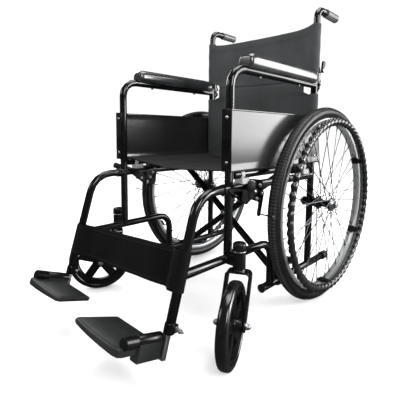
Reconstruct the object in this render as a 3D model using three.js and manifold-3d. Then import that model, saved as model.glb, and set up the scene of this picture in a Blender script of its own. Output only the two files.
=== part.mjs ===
// Manual folding wheelchair with spoked rear wheels, front casters, fixed armrests and flip-up footplates.
// Millimetres, +Z up, the chair faces -Y and its left is +X. It is drawn with its rear axle over y = 0,
// and then moved along Y so that the origin is on the floor under the middle of the whole chair.
// Every left-hand piece is modelled once, and the right-hand one is its mirror image.
import * as THREE from "three";
import { mergeVertices, toCreasedNormals } from "three/addons/utils/BufferGeometryUtils.js";
import Module from "manifold-3d";

// ---------- driving dimensions ----------

const GAP = 0.3; // between neighbouring pieces
const TUBE = 11; // outer radius of the frame tube
const TUBE_SIDES = 14;
const ROUND_SIDES = 16; // small turned pieces

const FRAME_X = 228; // middle plane of each side frame
const FRONT_POST_Y = -414;
const REAR_POST_Y = -5;
const ARM_Z = 686; // centre of the armrest tube
const SIDE_RAIL_Z = 395;
const SEAT_RAIL_Z = 428;
const LOW_FRONT_Z = 222;
const LOW_REAR_Z = 93;
const DROP_Y = -226; // where the lower front rail turns down behind the caster
const LOW_REAR_FRONT_Y = -262;
const LOW_REAR_BACK_Y = 112;
const SADDLE_Y = { front: -362, rear: -55 };
const BEND = 46; // centreline radius of a frame bend

const WHEEL_R = 307;
const WHEEL_X = 278.4;
const TYRE_HALF = 17;
const TYRE_DEPTH = 33;
const RIM_DEPTH = 16;
const SPOKES = 36;
const WHEEL_STEPS = 36;
const HANDRIM_X = 34; // from the wheel's middle plane
const HANDRIM_MID_R = 262;
const HANDRIM_TUBE_R = 9;
const HANDRIM_TABS = 6;
const AXLE_R = 6.2;
const HUB_IN = 32;
const HUB_OUT = 36;

const STEM_X = 266.4;
const STEM_Y = -415;
const HOUSING = { low: 206, high: 250, r: 16, bore: 8.4 };
const CASTER_R = 97;
const CASTER_TRAIL = 60;
const CASTER_SWIVEL = (26 * Math.PI) / 180; // both casters are turned outwards at rest
const CASTER_STEPS = 28;
const CASTER_TYRE_HALF = 14;
const CASTER_TYRE_DEPTH = 17;
const FORK_INNER = 26;
const FORK_LEG = 5;
const CROWN_TOP = 203;

const HANGER_LEAN = (16.1 * Math.PI) / 180; // from the vertical
const HANGER_FOOT = { y: -601.5, z: 102 };
const HANGER_BEND = 70;
const FOOT_TUBE_R = 9;
const FOOT_TUBE_LENGTH = 90;
const PLATE = { inner: 45, back: 17, front: 115, bow: 6, outer: 222, drop: 14, thick: 10 };
const HINGE = { x: 217, drop: 6, r: 12.5, pin: 7, start: 11.5, length: 70, cap: 104, block: 46 };
const PLATE_PITCH = { left: 0, right: 6.5 }; // degrees: the right footplate tips up at the front

const CANE_FOOT_Z = 703;
const GRIP_Z = 921;
const GRIP_BACK_Y = 132;
const GRIP_FRONT_Y = 50;
const GRIP_R = 14;
const BACK_PIVOT = { y: 18, z: 690 };

const PANEL = { x: 242.3, thick: 2.5, front: -403, back: 8, low: 438, high: 587 };
const PAD = { front: -378, back: -26, low: 688, high: 729, half: 24 };
const SLING = 2.6; // fabric thickness
const BRAKE = { y: -335, z: 382, x: 244 };
const BRAKE_GRIP_TIP = { x: 294, y: -411, z: 413 };

const wasm = await Module();
wasm.setup();

// ---------- solids ----------

function solid(geometry) {
  const plain = geometry.clone();
  plain.deleteAttribute("normal");
  plain.deleteAttribute("uv");
  const merged = mergeVertices(plain, 1e-4);
  return new wasm.Manifold(
    new wasm.Mesh({
      numProp: 3,
      vertProperties: merged.attributes.position.array,
      triVerts: new Uint32Array(merged.index.array),
    }),
  );
}

function geometryOf(made) {
  const mesh = made.getMesh();
  const points = new Float32Array(mesh.numVert * 3);
  for (let i = 0; i < mesh.numVert; i++) {
    const start = i * mesh.numProp;
    points.set(mesh.vertProperties.subarray(start, start + 3), i * 3);
  }
  const geometry = new THREE.BufferGeometry();
  geometry.setAttribute("position", new THREE.BufferAttribute(points, 3));
  geometry.setIndex(new THREE.BufferAttribute(mesh.triVerts, 1));
  return toCreasedNormals(geometry, Math.PI / 6);
}

function join(...solids) {
  return solids.reduce((a, b) => a.add(b));
}

function cut(body, ...tools) {
  return tools.reduce((a, b) => a.subtract(b), body);
}

const vec = (x, y, z) => new THREE.Vector3(x, y, z);

// A rod from one point to another.
function rod(from, to, radius, sides = ROUND_SIDES) {
  const along = to.clone().sub(from);
  const geometry = new THREE.CylinderGeometry(radius, radius, along.length(), sides);
  const turn = new THREE.Quaternion().setFromUnitVectors(vec(0, 1, 0), along.clone().normalize());
  geometry.applyQuaternion(turn);
  const middle = from.clone().lerp(to, 0.5);
  return solid(geometry.translate(middle.x, middle.y, middle.z));
}

function box(low, high) {
  const size = high.clone().sub(low);
  const middle = low.clone().lerp(high, 0.5);
  return solid(new THREE.BoxGeometry(size.x, size.y, size.z).translate(middle.x, middle.y, middle.z));
}

// A round solid about the X axis. The profile is a list of [x, radius] round one closed outline.
function turnedAboutX(profile, steps) {
  const points = profile.map(([x, r]) => new THREE.Vector2(r, x));
  points.push(points[0].clone());
  const geometry = new THREE.LatheGeometry(points, steps).rotateZ(-Math.PI / 2);
  const made = solid(geometry);
  return made.volume() > 0 ? made : solid(flipped(geometry));
}

function flipped(geometry) {
  const index = geometry.index.array;
  for (let i = 0; i < index.length; i += 3) {
    [index[i + 1], index[i + 2]] = [index[i + 2], index[i + 1]];
  }
  return geometry;
}

// A flat plate cut to an outline of [y, z] points, spanning low to high in X.
function plateInX(outline, low, high) {
  const shape = outline instanceof THREE.Shape
    ? outline
    : new THREE.Shape(outline.map(([y, z]) => new THREE.Vector2(y, z)));
  const settings = { depth: high - low, bevelEnabled: false, curveSegments: 8 };
  const geometry = new THREE.ExtrudeGeometry(shape, settings);
  const axes = new THREE.Matrix4().makeBasis(vec(0, 1, 0), vec(0, 0, 1), vec(1, 0, 0));
  return solid(geometry.applyMatrix4(axes).translate(low, 0, 0));
}

// A flat plate cut to an outline of [x, z] points, spanning low to high in Y.
function plateInY(outline, low, high) {
  const shape = new THREE.Shape(outline.map(([x, z]) => new THREE.Vector2(x, z)));
  const geometry = new THREE.ExtrudeGeometry(shape, { depth: high - low, bevelEnabled: false });
  const axes = new THREE.Matrix4().makeBasis(vec(1, 0, 0), vec(0, 0, 1), vec(0, -1, 0));
  return solid(geometry.applyMatrix4(axes).translate(0, high, 0));
}

// The corner points of a bent tube, each corner replaced by an arc of the given radius.
function bentPath(corners, radius, stepsPerBend = 4) {
  const path = [corners[0]];
  for (let i = 1; i < corners.length - 1; i++) {
    const back = corners[i - 1].clone().sub(corners[i]).normalize();
    const ahead = corners[i + 1].clone().sub(corners[i]).normalize();
    const half = back.angleTo(ahead) / 2;
    const setBack = radius / Math.tan(half);
    const inwards = back.clone().add(ahead).normalize();
    const centre = inwards.multiplyScalar(radius / Math.sin(half)).add(corners[i]);
    const start = corners[i].clone().addScaledVector(back, setBack).sub(centre);
    const axis = vec(0, 0, 0).crossVectors(ahead, back).normalize();
    const turn = Math.PI - 2 * half;
    for (let step = 0; step <= stepsPerBend; step++) {
      const spoke = start.clone().applyAxisAngle(axis, (turn * step) / stepsPerBend);
      path.push(centre.clone().add(spoke));
    }
  }
  path.push(corners[corners.length - 1]);
  return path;
}

// A closed round bar swept along a path that stays in one plane.
function bentTube(corners, bend, radius = TUBE, sides = TUBE_SIDES) {
  const path = bentPath(corners, bend);
  const first = path[1].clone().sub(path[0]).normalize();
  const flat = Math.abs(first.x) > 0.9 ? vec(0, 1, 0) : vec(1, 0, 0);
  const points = [];
  path.forEach((point, i) => {
    const into = path[Math.max(i, 1)].clone().sub(path[Math.max(i, 1) - 1]).normalize();
    const last = Math.min(i + 1, path.length - 1);
    const out = path[last].clone().sub(path[last - 1]).normalize();
    const along = into.clone().add(out).normalize();
    const across = vec(0, 0, 0).crossVectors(along, flat).normalize();
    const mitre = 1 / along.dot(into);
    for (let k = 0; k < sides; k++) {
      const turn = (2 * Math.PI * k) / sides;
      points.push(
        point.clone()
          .addScaledVector(flat, radius * Math.cos(turn))
          .addScaledVector(across, radius * mitre * Math.sin(turn)),
      );
    }
  });
  const faces = [];
  for (let i = 0; i < path.length - 1; i++) {
    for (let k = 0; k < sides; k++) {
      const a = i * sides + k;
      const b = i * sides + ((k + 1) % sides);
      faces.push(a, b, a + sides, b, b + sides, a + sides);
    }
  }
  const end = (path.length - 1) * sides;
  for (let k = 1; k < sides - 1; k++) {
    faces.push(0, k + 1, k);
    faces.push(end, end + k, end + k + 1);
  }
  const geometry = new THREE.BufferGeometry().setFromPoints(points);
  geometry.setIndex(faces);
  const made = solid(geometry);
  return made.volume() > 0 ? made : solid(flipped(geometry));
}

// ---------- materials ----------

const material = (color, roughness, metalness = 0) =>
  new THREE.MeshStandardMaterial({ color, roughness, metalness });

const MATERIALS = {
  paint: () => material(0x141416, 0.25, 0.3),
  plastic: () => material(0x1a1a1c, 0.5),
  panel: () => material(0x3a3c3e, 0.3),
  vinyl: () => material(0x2c2d2f, 0.42),
  fabric: () => material(0x3b3d3e, 0.85),
  strap: () => material(0x1c1c1e, 0.8),
  tyre: () => material(0x2a2c2d, 0.8),
  rim: () => material(0xc9ccd0, 0.3, 0.9),
  steel: () => material(0xb4b6b8, 0.35, 0.9),
  rubber: () => material(0x202122, 0.75),
};

function piece(parent, name, made, kind) {
  const mesh = new THREE.Mesh(geometryOf(made), MATERIALS[kind]());
  mesh.name = name;
  parent.add(mesh);
  return mesh;
}

function groupAt(parent, x, y, z) {
  const group = new THREE.Group();
  group.position.set(x, y, z);
  parent.add(group);
  return group;
}

// ---------- side frame ----------

// The hanger tube, from its open foot up to the side rail. Its top straight runs back into the front post.
const hangerAt = (z) => HANGER_FOOT.y + (z - HANGER_FOOT.z) * Math.tan(HANGER_LEAN);
const HANGER_END_Z = HANGER_FOOT.z + 4;

function hangerTube() {
  const foot = vec(FRAME_X, hangerAt(HANGER_END_Z), HANGER_END_Z);
  const corner = vec(FRAME_X, hangerAt(SIDE_RAIL_Z), SIDE_RAIL_Z);
  const tube = bentTube([foot, corner, vec(FRAME_X, FRONT_POST_Y, SIDE_RAIL_Z)], HANGER_BEND);
  const up = vec(0, Math.sin(HANGER_LEAN), Math.cos(HANGER_LEAN));
  const bore = rod(
    foot.clone().addScaledVector(up, -5),
    foot.clone().addScaledVector(up, FOOT_TUBE_LENGTH + 10),
    FOOT_TUBE_R + GAP,
  );
  return cut(tube, bore);
}

function casterHousing() {
  const lug = box(
    vec(FRAME_X, STEM_Y - TUBE, HOUSING.low + 6),
    vec(STEM_X, STEM_Y + TUBE, HOUSING.high - 6),
  );
  const sleeve = rod(vec(STEM_X, STEM_Y, HOUSING.low), vec(STEM_X, STEM_Y, HOUSING.high), HOUSING.r);
  const below = vec(STEM_X, STEM_Y, HOUSING.low - 5);
  const bore = rod(below, vec(STEM_X, STEM_Y, HOUSING.high + 5), HOUSING.bore);
  return { body: join(lug, sleeve), bore };
}

// The lug behind the rear post that the upper cane folds on, with its pin.
function backLug() {
  const lug = plateInX(
    [
      [REAR_POST_Y, BACK_PIVOT.z - 40],
      [BACK_PIVOT.y + 8, BACK_PIVOT.z - 12],
      [BACK_PIVOT.y + 8, BACK_PIVOT.z + 8],
      [REAR_POST_Y, BACK_PIVOT.z + 8],
    ],
    FRAME_X - 4,
    FRAME_X + 4,
  );
  const pin = rod(
    vec(FRAME_X - 9, BACK_PIVOT.y, BACK_PIVOT.z),
    vec(FRAME_X + 9, BACK_PIVOT.y, BACK_PIVOT.z),
    3,
    12,
  );
  return join(lug, pin);
}

// A pad the seat rail rests on when the chair is open.
function saddle(y) {
  return box(
    vec(FRAME_X - 7, y - 12, SIDE_RAIL_Z),
    vec(FRAME_X + 7, y + 12, SEAT_RAIL_Z - TUBE - GAP),
  );
}

function sideFrame(parent, side) {
  const x = FRAME_X;
  const armrest = bentTube(
    [vec(x, FRONT_POST_Y, LOW_FRONT_Z), vec(x, FRONT_POST_Y, ARM_Z), vec(x, REAR_POST_Y, ARM_Z)],
    BEND,
  );
  const rearPost = bentTube([vec(x, REAR_POST_Y, LOW_REAR_Z), vec(x, REAR_POST_Y, CANE_FOOT_Z - 3)], BEND);
  const sideRail = bentTube([vec(x, FRONT_POST_Y, SIDE_RAIL_Z), vec(x, REAR_POST_Y, SIDE_RAIL_Z)], BEND);
  const lowFront = bentTube(
    [vec(x, hangerAt(LOW_FRONT_Z), LOW_FRONT_Z), vec(x, DROP_Y, LOW_FRONT_Z), vec(x, DROP_Y, LOW_REAR_Z)],
    BEND,
  );
  const lowRearEnd = vec(x, LOW_REAR_BACK_Y, LOW_REAR_Z);
  const lowRear = bentTube([vec(x, LOW_REAR_FRONT_Y, LOW_REAR_Z), lowRearEnd], BEND);
  const axleBoss = rod(vec(x - 23, 0, WHEEL_R), vec(x + 17, 0, WHEEL_R), 14);
  const axleBore = rod(vec(x - 30, 0, WHEEL_R), vec(x + 30, 0, WHEEL_R), AXLE_R + GAP);
  const housing = casterHousing();
  const body = join(
    armrest, rearPost, sideRail, lowFront, lowRear, axleBoss, housing.body, backLug(),
    saddle(SADDLE_Y.front), saddle(SADDLE_Y.rear), hangerTube(),
  );
  piece(parent, side + "_frame", cut(body, axleBore, housing.bore), "paint");

  const plug = rod(
    vec(x, LOW_REAR_FRONT_Y - GAP - 6, LOW_REAR_Z),
    vec(x, LOW_REAR_FRONT_Y - GAP, LOW_REAR_Z),
    TUBE + 1.5,
  );
  piece(parent, side + "_rail_plug", plug, "plastic");

  const start = vec(x, LOW_REAR_BACK_Y - 14, LOW_REAR_Z);
  const tip = rod(start, vec(x, LOW_REAR_BACK_Y + 14, LOW_REAR_Z), TUBE + 3);
  const tipBore = rod(
    vec(x, LOW_REAR_BACK_Y - 20, LOW_REAR_Z),
    vec(x, LOW_REAR_BACK_Y + GAP, LOW_REAR_Z),
    TUBE + GAP,
  );
  piece(parent, side + "_tipping_tip", cut(tip, tipBore), "rubber");
}

function armrestPad(parent, side) {
  const { front, back, low, high } = PAD;
  const outline = [
    [front + 6, low],
    [back, low],
    [back, high - 3],
    [back - 5, high],
    [front + 34, high],
    [front + 10, high - 5],
    [front, low + 17],
  ];
  const pad = plateInX(outline, FRAME_X - PAD.half, FRAME_X + PAD.half);
  const groove = rod(vec(FRAME_X, front - 10, ARM_Z), vec(FRAME_X, back + 10, ARM_Z), TUBE + GAP);
  piece(parent, side + "_armrest_pad", cut(pad, groove), "vinyl");
}

function sidePanel(parent, side) {
  const sheet = box(
    vec(PANEL.x, PANEL.front, PANEL.low),
    vec(PANEL.x + PANEL.thick, PANEL.back, PANEL.high),
  );
  const flangeFront = FRONT_POST_Y - TUBE - 2 * GAP - 2.4;
  const flange = box(
    vec(FRAME_X - 4, flangeFront, PANEL.low),
    vec(PANEL.x + PANEL.thick, PANEL.front + 2, PANEL.high),
  );
  const postRoom = rod(
    vec(FRAME_X, FRONT_POST_Y, PANEL.low - 5),
    vec(FRAME_X, FRONT_POST_Y, PANEL.high + 5),
    TUBE + GAP,
    TUBE_SIDES,
  );
  piece(parent, side + "_side_panel", cut(join(sheet, flange), postRoom), "panel");
}

// ---------- backrest canes ----------

function upperCane(parent, side) {
  const x = FRAME_X;
  const tube = bentTube(
    [vec(x, REAR_POST_Y, CANE_FOOT_Z), vec(x, REAR_POST_Y, GRIP_Z), vec(x, GRIP_BACK_Y - 3, GRIP_Z)],
    30,
  );
  const cheekOutline = [
    [REAR_POST_Y + 2, CANE_FOOT_Z],
    [REAR_POST_Y + TUBE + 1, CANE_FOOT_Z],
    [BACK_PIVOT.y - 8, BACK_PIVOT.z - 4],
    [BACK_PIVOT.y, BACK_PIVOT.z - 9],
    [BACK_PIVOT.y + 7, BACK_PIVOT.z - 6],
    [BACK_PIVOT.y + 9, BACK_PIVOT.z + 4],
    [REAR_POST_Y + 9, CANE_FOOT_Z + 42],
    [REAR_POST_Y + 2, CANE_FOOT_Z + 42],
  ];
  const inner = 4 + GAP;
  const outer = inner + 3;
  const cheeks = join(
    plateInX(cheekOutline, x + inner, x + outer),
    plateInX(cheekOutline, x - outer, x - inner),
  );
  const pinStart = vec(x - 12, BACK_PIVOT.y, BACK_PIVOT.z);
  const pinHole = rod(pinStart, vec(x + 12, BACK_PIVOT.y, BACK_PIVOT.z), 3 + GAP, 12);
  piece(parent, side + "_upper_cane", cut(join(tube, cheeks), pinHole), "paint");

  const sleeve = rod(vec(x, GRIP_FRONT_Y, GRIP_Z), vec(x, GRIP_BACK_Y, GRIP_Z), GRIP_R);
  const bore = rod(vec(x, GRIP_FRONT_Y - 5, GRIP_Z), vec(x, GRIP_BACK_Y - 3 + GAP, GRIP_Z), TUBE + GAP);
  piece(parent, side + "_handle_grip", cut(sleeve, bore), "rubber");
}

// The catch on the outer cheek that holds the upper cane upright.
function backLatch(parent, side) {
  const pivot = { y: 22, z: 734 };
  const outline = new THREE.Shape();
  outline.absarc(pivot.y + 11, pivot.z + 20, 8, -0.6, Math.PI - 0.6);
  outline.lineTo(pivot.y - 5, pivot.z + 2);
  outline.lineTo(pivot.y - 5, pivot.z - 6);
  outline.lineTo(pivot.y + 5, pivot.z - 6);
  const x = FRAME_X + 8;
  piece(parent, side + "_back_latch", plateInX(outline, x, x + 7), "plastic");
}

// ---------- rear wheel ----------

function rearWheel(parent, side) {
  const wheel = groupAt(parent, WHEEL_X, 0, WHEEL_R);
  const rimOuter = WHEEL_R - TYRE_DEPTH;
  const rimInner = rimOuter - RIM_DEPTH;

  const tyre = turnedAboutX(
    [
      [-11, rimOuter + GAP],
      [11, rimOuter + GAP],
      [TYRE_HALF, rimOuter + 15],
      [9, WHEEL_R - 2],
      [0, WHEEL_R],
      [-9, WHEEL_R - 2],
      [-TYRE_HALF, rimOuter + 15],
    ],
    WHEEL_STEPS,
  );
  piece(wheel, side + "_rear_tyre", tyre, "tyre");

  const rim = turnedAboutX(
    [
      [-12, rimOuter],
      [-12, rimInner + 4],
      [0, rimInner],
      [12, rimInner + 4],
      [12, rimOuter],
    ],
    WHEEL_STEPS,
  );
  const spokes = [];
  const hubEdge = 28;
  for (let i = 0; i < SPOKES; i++) {
    const turn = (2 * Math.PI * i) / SPOKES;
    const lead = turn + (i % 4 < 2 ? 1 : -1) * 1.1;
    // heads alternate in and out of the flange, so crossing spokes clear each other
    const flangeX = (i % 2 ? 24 : -20) + (i % 4 < 2 ? 2.4 : -2.4);
    const from = vec(flangeX, hubEdge * Math.sin(lead), hubEdge * Math.cos(lead));
    const reach = rimInner + 3;
    spokes.push(rod(from, vec(0, reach * Math.sin(turn), reach * Math.cos(turn)), 1, 3));
  }
  piece(wheel, side + "_rim_and_spokes", join(rim, ...spokes), "rim");

  const hub = turnedAboutX(
    [
      [-HUB_IN, AXLE_R + GAP],
      [-HUB_IN, 14],
      [-22, 16],
      [-22, 26],
      [-18, 26],
      [-16, 15],
      [20, 15],
      [22, 26],
      [26, 26],
      [30, 18],
      [HUB_OUT, 15],
      [HUB_OUT, AXLE_R + GAP],
    ],
    ROUND_SIDES,
  );
  piece(wheel, side + "_hub", hub, "plastic");

  const ring = solid(
    new THREE.TorusGeometry(HANDRIM_MID_R, HANDRIM_TUBE_R, 6, WHEEL_STEPS)
      .rotateY(Math.PI / 2)
      .translate(HANDRIM_X, 0, 0),
  );
  const tabs = [];
  for (let i = 0; i < HANDRIM_TABS; i++) {
    const tab = box(vec(12 + GAP, -8, rimInner + 8), vec(HANDRIM_X, 8, rimInner + 11));
    tabs.push(tab.rotate([(360 * i) / HANDRIM_TABS, 0, 0]));
  }
  piece(wheel, side + "_handrim", join(ring, ...tabs), "plastic");

  const innerEnd = FRAME_X - WHEEL_X - 23;
  const axle = join(
    rod(vec(innerEnd - 8, 0, 0), vec(HUB_OUT + 8, 0, 0), AXLE_R),
    rod(vec(HUB_OUT + GAP, 0, 0), vec(HUB_OUT + 8, 0, 0), 10, 6),
    rod(vec(innerEnd - 9, 0, 0), vec(innerEnd - GAP, 0, 0), 11, 6),
  );
  piece(wheel, side + "_rear_axle", axle, "steel");
}

// ---------- caster ----------

// The group's origin is the foot of the stem axis on the floor, and the wheel leads along its -Y.
function caster(parent, side) {
  const group = groupAt(parent, STEM_X, STEM_Y, 0);
  group.rotation.z = CASTER_SWIVEL;
  const hubY = -CASTER_TRAIL;

  const leg = new THREE.Shape();
  leg.moveTo(-16, CROWN_TOP);
  leg.lineTo(12, CROWN_TOP);
  leg.lineTo(12, CROWN_TOP - 16);
  leg.lineTo(hubY + 13, CASTER_R + 6);
  leg.absarc(hubY, CASTER_R, 13, 0.3, Math.PI + 0.9, true);
  leg.lineTo(-22, CROWN_TOP - 12);
  const legLow = FORK_INNER;
  const legHigh = FORK_INNER + FORK_LEG;
  const crown = box(vec(-legHigh, -16, CROWN_TOP - 6), vec(legHigh, 12, CROWN_TOP));
  const stem = rod(vec(0, 0, CROWN_TOP - 4), vec(0, 0, HOUSING.high - 2), HOUSING.bore - GAP - 0.2);
  const race = rod(vec(0, 0, CROWN_TOP - 2), vec(0, 0, HOUSING.low - 1), 12);
  const axleHole = rod(vec(-50, hubY, CASTER_R), vec(50, hubY, CASTER_R), 4 + GAP);
  const fork = join(plateInX(leg, legLow, legHigh), plateInX(leg, -legHigh, -legLow), crown, stem, race);
  piece(group, side + "_caster_fork", cut(fork, axleHole), "paint");

  const axle = join(
    rod(vec(-36, hubY, CASTER_R), vec(36, hubY, CASTER_R), 4),
    rod(vec(legHigh + GAP, hubY, CASTER_R), vec(36, hubY, CASTER_R), 8, 6),
    rod(vec(-36, hubY, CASTER_R), vec(-legHigh - GAP, hubY, CASTER_R), 8, 6),
  );
  piece(group, side + "_caster_axle", axle, "steel");

  const wheel = groupAt(group, 0, hubY, CASTER_R);
  const wheelR = CASTER_R - CASTER_TYRE_DEPTH;
  piece(wheel, side + "_caster_wheel", casterWheel(wheelR), "plastic");

  const half = CASTER_TYRE_HALF;
  const tyre = turnedAboutX(
    [
      [-half + 2, wheelR + GAP],
      [half - 2, wheelR + GAP],
      [half, wheelR + 6],
      [half - 7, CASTER_R],
      [7 - half, CASTER_R],
      [-half, wheelR + 6],
    ],
    CASTER_STEPS,
  );
  piece(wheel, side + "_caster_tyre", tyre, "rubber");
}

// A disc with five rounded windows and a hub.
function casterWheel(radius) {
  const disc = new THREE.Shape();
  const rimIn = radius - 14;
  disc.absarc(0, 0, rimIn + 8, 0, 2 * Math.PI);
  const hubOut = 25;
  for (let i = 0; i < 5; i++) {
    const middle = (2 * Math.PI * i) / 5;
    const half = 0.44;
    const window = new THREE.Path();
    window.absarc(0, 0, rimIn, middle - half, middle + half);
    window.lineTo(hubOut * Math.cos(middle + 0.1), hubOut * Math.sin(middle + 0.1));
    window.lineTo(hubOut * Math.cos(middle - 0.1), hubOut * Math.sin(middle - 0.1));
    disc.holes.push(window);
  }
  const geometry = new THREE.ExtrudeGeometry(disc, { depth: 14, bevelEnabled: false, curveSegments: 4 });
  const web = solid(geometry.translate(0, 0, -7).rotateY(Math.PI / 2));
  const half = CASTER_TYRE_HALF - 2;
  const section = [[-half, rimIn + 6], [half, rimIn + 6], [half, radius], [-half, radius]];
  const band = turnedAboutX(section, CASTER_STEPS);
  const hub = rod(vec(-24, 0, 0), vec(24, 0, 0), 14);
  const bore = rod(vec(-30, 0, 0), vec(30, 0, 0), 4 + GAP + 0.1);
  return cut(join(web, band, hub), bore);
}

function casterCap(parent, side) {
  const foot = vec(STEM_X, STEM_Y, HOUSING.high + GAP);
  const cap = rod(foot, vec(STEM_X, STEM_Y, HOUSING.high + 21), HOUSING.r + 1);
  piece(parent, side + "_caster_cap", cap, "plastic");
}

// ---------- footrest ----------

// The group's origin is the foot of the hanger.
// Its -Z runs down the hanger and its -Y forward along the hinge.
function footrest(parent, side) {
  const group = groupAt(parent, FRAME_X, HANGER_FOOT.y, HANGER_FOOT.z);
  group.rotation.x = -HANGER_LEAN;
  const hingeX = HINGE.x - FRAME_X;
  const hingeZ = -HINGE.drop;
  const pitched = (made) => made.rotate([-PLATE_PITCH[side], 0, 0]);
  const alongHinge = (from, to, radius) => rod(vec(hingeX, from, hingeZ), vec(hingeX, to, hingeZ), radius);

  const tube = rod(vec(0, 0, 3.6), vec(0, 0, FOOT_TUBE_LENGTH + 4), FOOT_TUBE_R, TUBE_SIDES);
  const bar = box(vec(hingeX + 1, -9, -HINGE.block - 3), vec(6, 2, 4));
  const pin = alongHinge(-4, -HINGE.cap + 8, HINGE.pin);
  piece(group, side + "_footrest_tube", join(tube, bar, pitched(pin)), "steel");

  const sleeve = alongHinge(-HINGE.start, -HINGE.length, HINGE.r);
  const neck = alongHinge(-HINGE.length + 1, -HINGE.length - 4, HINGE.r - 2);
  const cap = alongHinge(-HINGE.length - 3, -HINGE.cap, HINGE.r - 0.5);
  const block = box(
    vec(hingeX - HINGE.r, -HINGE.length, -HINGE.block),
    vec(hingeX + HINGE.r, -HINGE.start, hingeZ),
  );
  const bore = alongHinge(5, -HINGE.cap + 6, HINGE.pin + GAP);
  const footplate = cut(join(sleeve, neck, cap, block, footplateSheet(hingeX)), bore);
  piece(group, side + "_footplate", pitched(footplate), "plastic");
}

// The tread: straight at the back, bowed at the front, and cut back at its inner rear corner.
function footplateSheet(hingeX) {
  const inner = PLATE.inner - FRAME_X;
  const outer = PLATE.outer - FRAME_X;
  const besideBlock = hingeX - HINGE.r + 1;
  const corner = 14;
  const sheet = new THREE.Shape();
  sheet.moveTo(besideBlock, -PLATE.back);
  sheet.lineTo(inner + 22, -PLATE.back);
  sheet.lineTo(inner, -PLATE.front + 12);
  sheet.quadraticCurveTo(inner - 2, -PLATE.front, inner + 12, -PLATE.front - 3);
  sheet.quadraticCurveTo((inner + outer) / 2, -PLATE.front - PLATE.bow, outer - corner, -PLATE.front);
  sheet.quadraticCurveTo(outer, -PLATE.front, outer, -PLATE.front + corner);
  sheet.lineTo(outer, -HINGE.length + 1);
  sheet.lineTo(besideBlock, -HINGE.length + 1);
  const settings = { depth: PLATE.thick, bevelEnabled: false, curveSegments: 5 };
  const geometry = new THREE.ExtrudeGeometry(sheet, settings);
  return solid(geometry.translate(0, 0, -PLATE.drop - PLATE.thick));
}

// ---------- brake ----------

function brake(parent, side) {
  const { y, z, x } = BRAKE;
  const clamp = box(vec(FRAME_X - 15, y + 6, SIDE_RAIL_Z - 15), vec(x, y + 34, SIDE_RAIL_Z + 14));
  const railRoom = rod(
    vec(FRAME_X, y - 10, SIDE_RAIL_Z),
    vec(FRAME_X, y + 50, SIDE_RAIL_Z),
    TUBE + GAP,
    TUBE_SIDES,
  );
  const cheek = plateInX(
    [
      [y - 22, z - 16],
      [y - 22, z + 26],
      [y - 14, z + 32],
      [y + 34, z + 26],
      [y + 38, z - 22],
      [y + 24, z - 32],
    ],
    x,
    x + 3,
  );
  piece(parent, side + "_brake_bracket", cut(join(clamp, cheek), railRoom), "paint");

  const leverX = x + 3 + GAP;
  const arm = plateInX(
    [
      [y + 10, z - 8],
      [y + 10, z + 6],
      [y - 26, z + 22],
      [y - 32, z + 8],
      [y - 4, z - 8],
    ],
    leverX,
    leverX + 3,
  );
  const neck = box(vec(leverX, y - 32, z + 5), vec(leverX + 10, y - 20, z + 17));
  const tip = vec(BRAKE_GRIP_TIP.x, BRAKE_GRIP_TIP.y, BRAKE_GRIP_TIP.z);
  const grip = rod(vec(leverX + 9, y - 26, z + 11), tip, 8.5, 12);
  piece(parent, side + "_brake_lever", join(arm, neck, grip), "plastic");

  const shoePivot = { y: y + 28, z: z - 8 };
  const shoeY = -WHEEL_R - 11;
  const shoeZ = WHEEL_R + 14;
  const link = plateInX(
    [
      [shoePivot.y + 7, shoePivot.z + 6],
      [shoePivot.y - 7, shoePivot.z + 6],
      [shoeY - 6, shoeZ - 4],
      [shoeY + 6, shoeZ - 4],
    ],
    leverX,
    leverX + 4,
  );
  const bar = rod(vec(leverX + 1, shoeY, shoeZ), vec(WHEEL_X + 22, shoeY, shoeZ), 3, 10);
  piece(parent, side + "_brake_shoe", join(link, bar), "steel");
}

// ---------- folding cross ----------

// One brace: a sleeve round a lower rail, the diagonal tube and the seat rail on its upper end.
function brace(parent, name, footX, y) {
  const foot = vec(footX, y, LOW_REAR_Z);
  const head = vec(-footX, y, SEAT_RAIL_Z);
  const sleeve = rod(vec(footX, y - 20, LOW_REAR_Z), vec(footX, y + 20, LOW_REAR_Z), TUBE + 5);
  const sleeveBore = rod(
    vec(footX, y - 25, LOW_REAR_Z),
    vec(footX, y + 25, LOW_REAR_Z),
    TUBE + GAP,
    TUBE_SIDES,
  );
  const diagonal = rod(foot, head, TUBE, TUBE_SIDES);
  const seatRail = rod(
    vec(-footX, FRONT_POST_Y + TUBE + 4, SEAT_RAIL_Z),
    vec(-footX, REAR_POST_Y - TUBE - 8, SEAT_RAIL_Z),
    TUBE,
    TUBE_SIDES,
  );
  const middleZ = (LOW_REAR_Z + SEAT_RAIL_Z) / 2;
  const boltHole = rod(vec(0, y - 15, middleZ), vec(0, y + 15, middleZ), 4 + GAP, 12);
  piece(parent, name, cut(join(diagonal, seatRail, sleeve), sleeveBore, boltHole), "paint");
}

function foldingCross(parent) {
  const frontY = -170;
  const rearY = frontY + 2 * TUBE + 2;
  brace(parent, "brace_front", FRAME_X, frontY);
  brace(parent, "brace_rear", -FRAME_X, rearY);
  const z = (LOW_REAR_Z + SEAT_RAIL_Z) / 2;
  const bolt = join(
    rod(vec(0, frontY - TUBE - 6, z), vec(0, rearY + TUBE + 6, z), 4, 12),
    rod(vec(0, frontY - TUBE - 6, z), vec(0, frontY - TUBE - GAP, z), 8, 6),
    rod(vec(0, rearY + TUBE + GAP, z), vec(0, rearY + TUBE + 6, z), 8, 6),
  );
  piece(parent, "brace_pivot_bolt", bolt, "steel");
}

// ---------- slings ----------

// A point a share t of the way across the chair, hanging below the straight line by the sag.
const sagAt = (t, sag) => sag * 4 * t * (1 - t);

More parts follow.
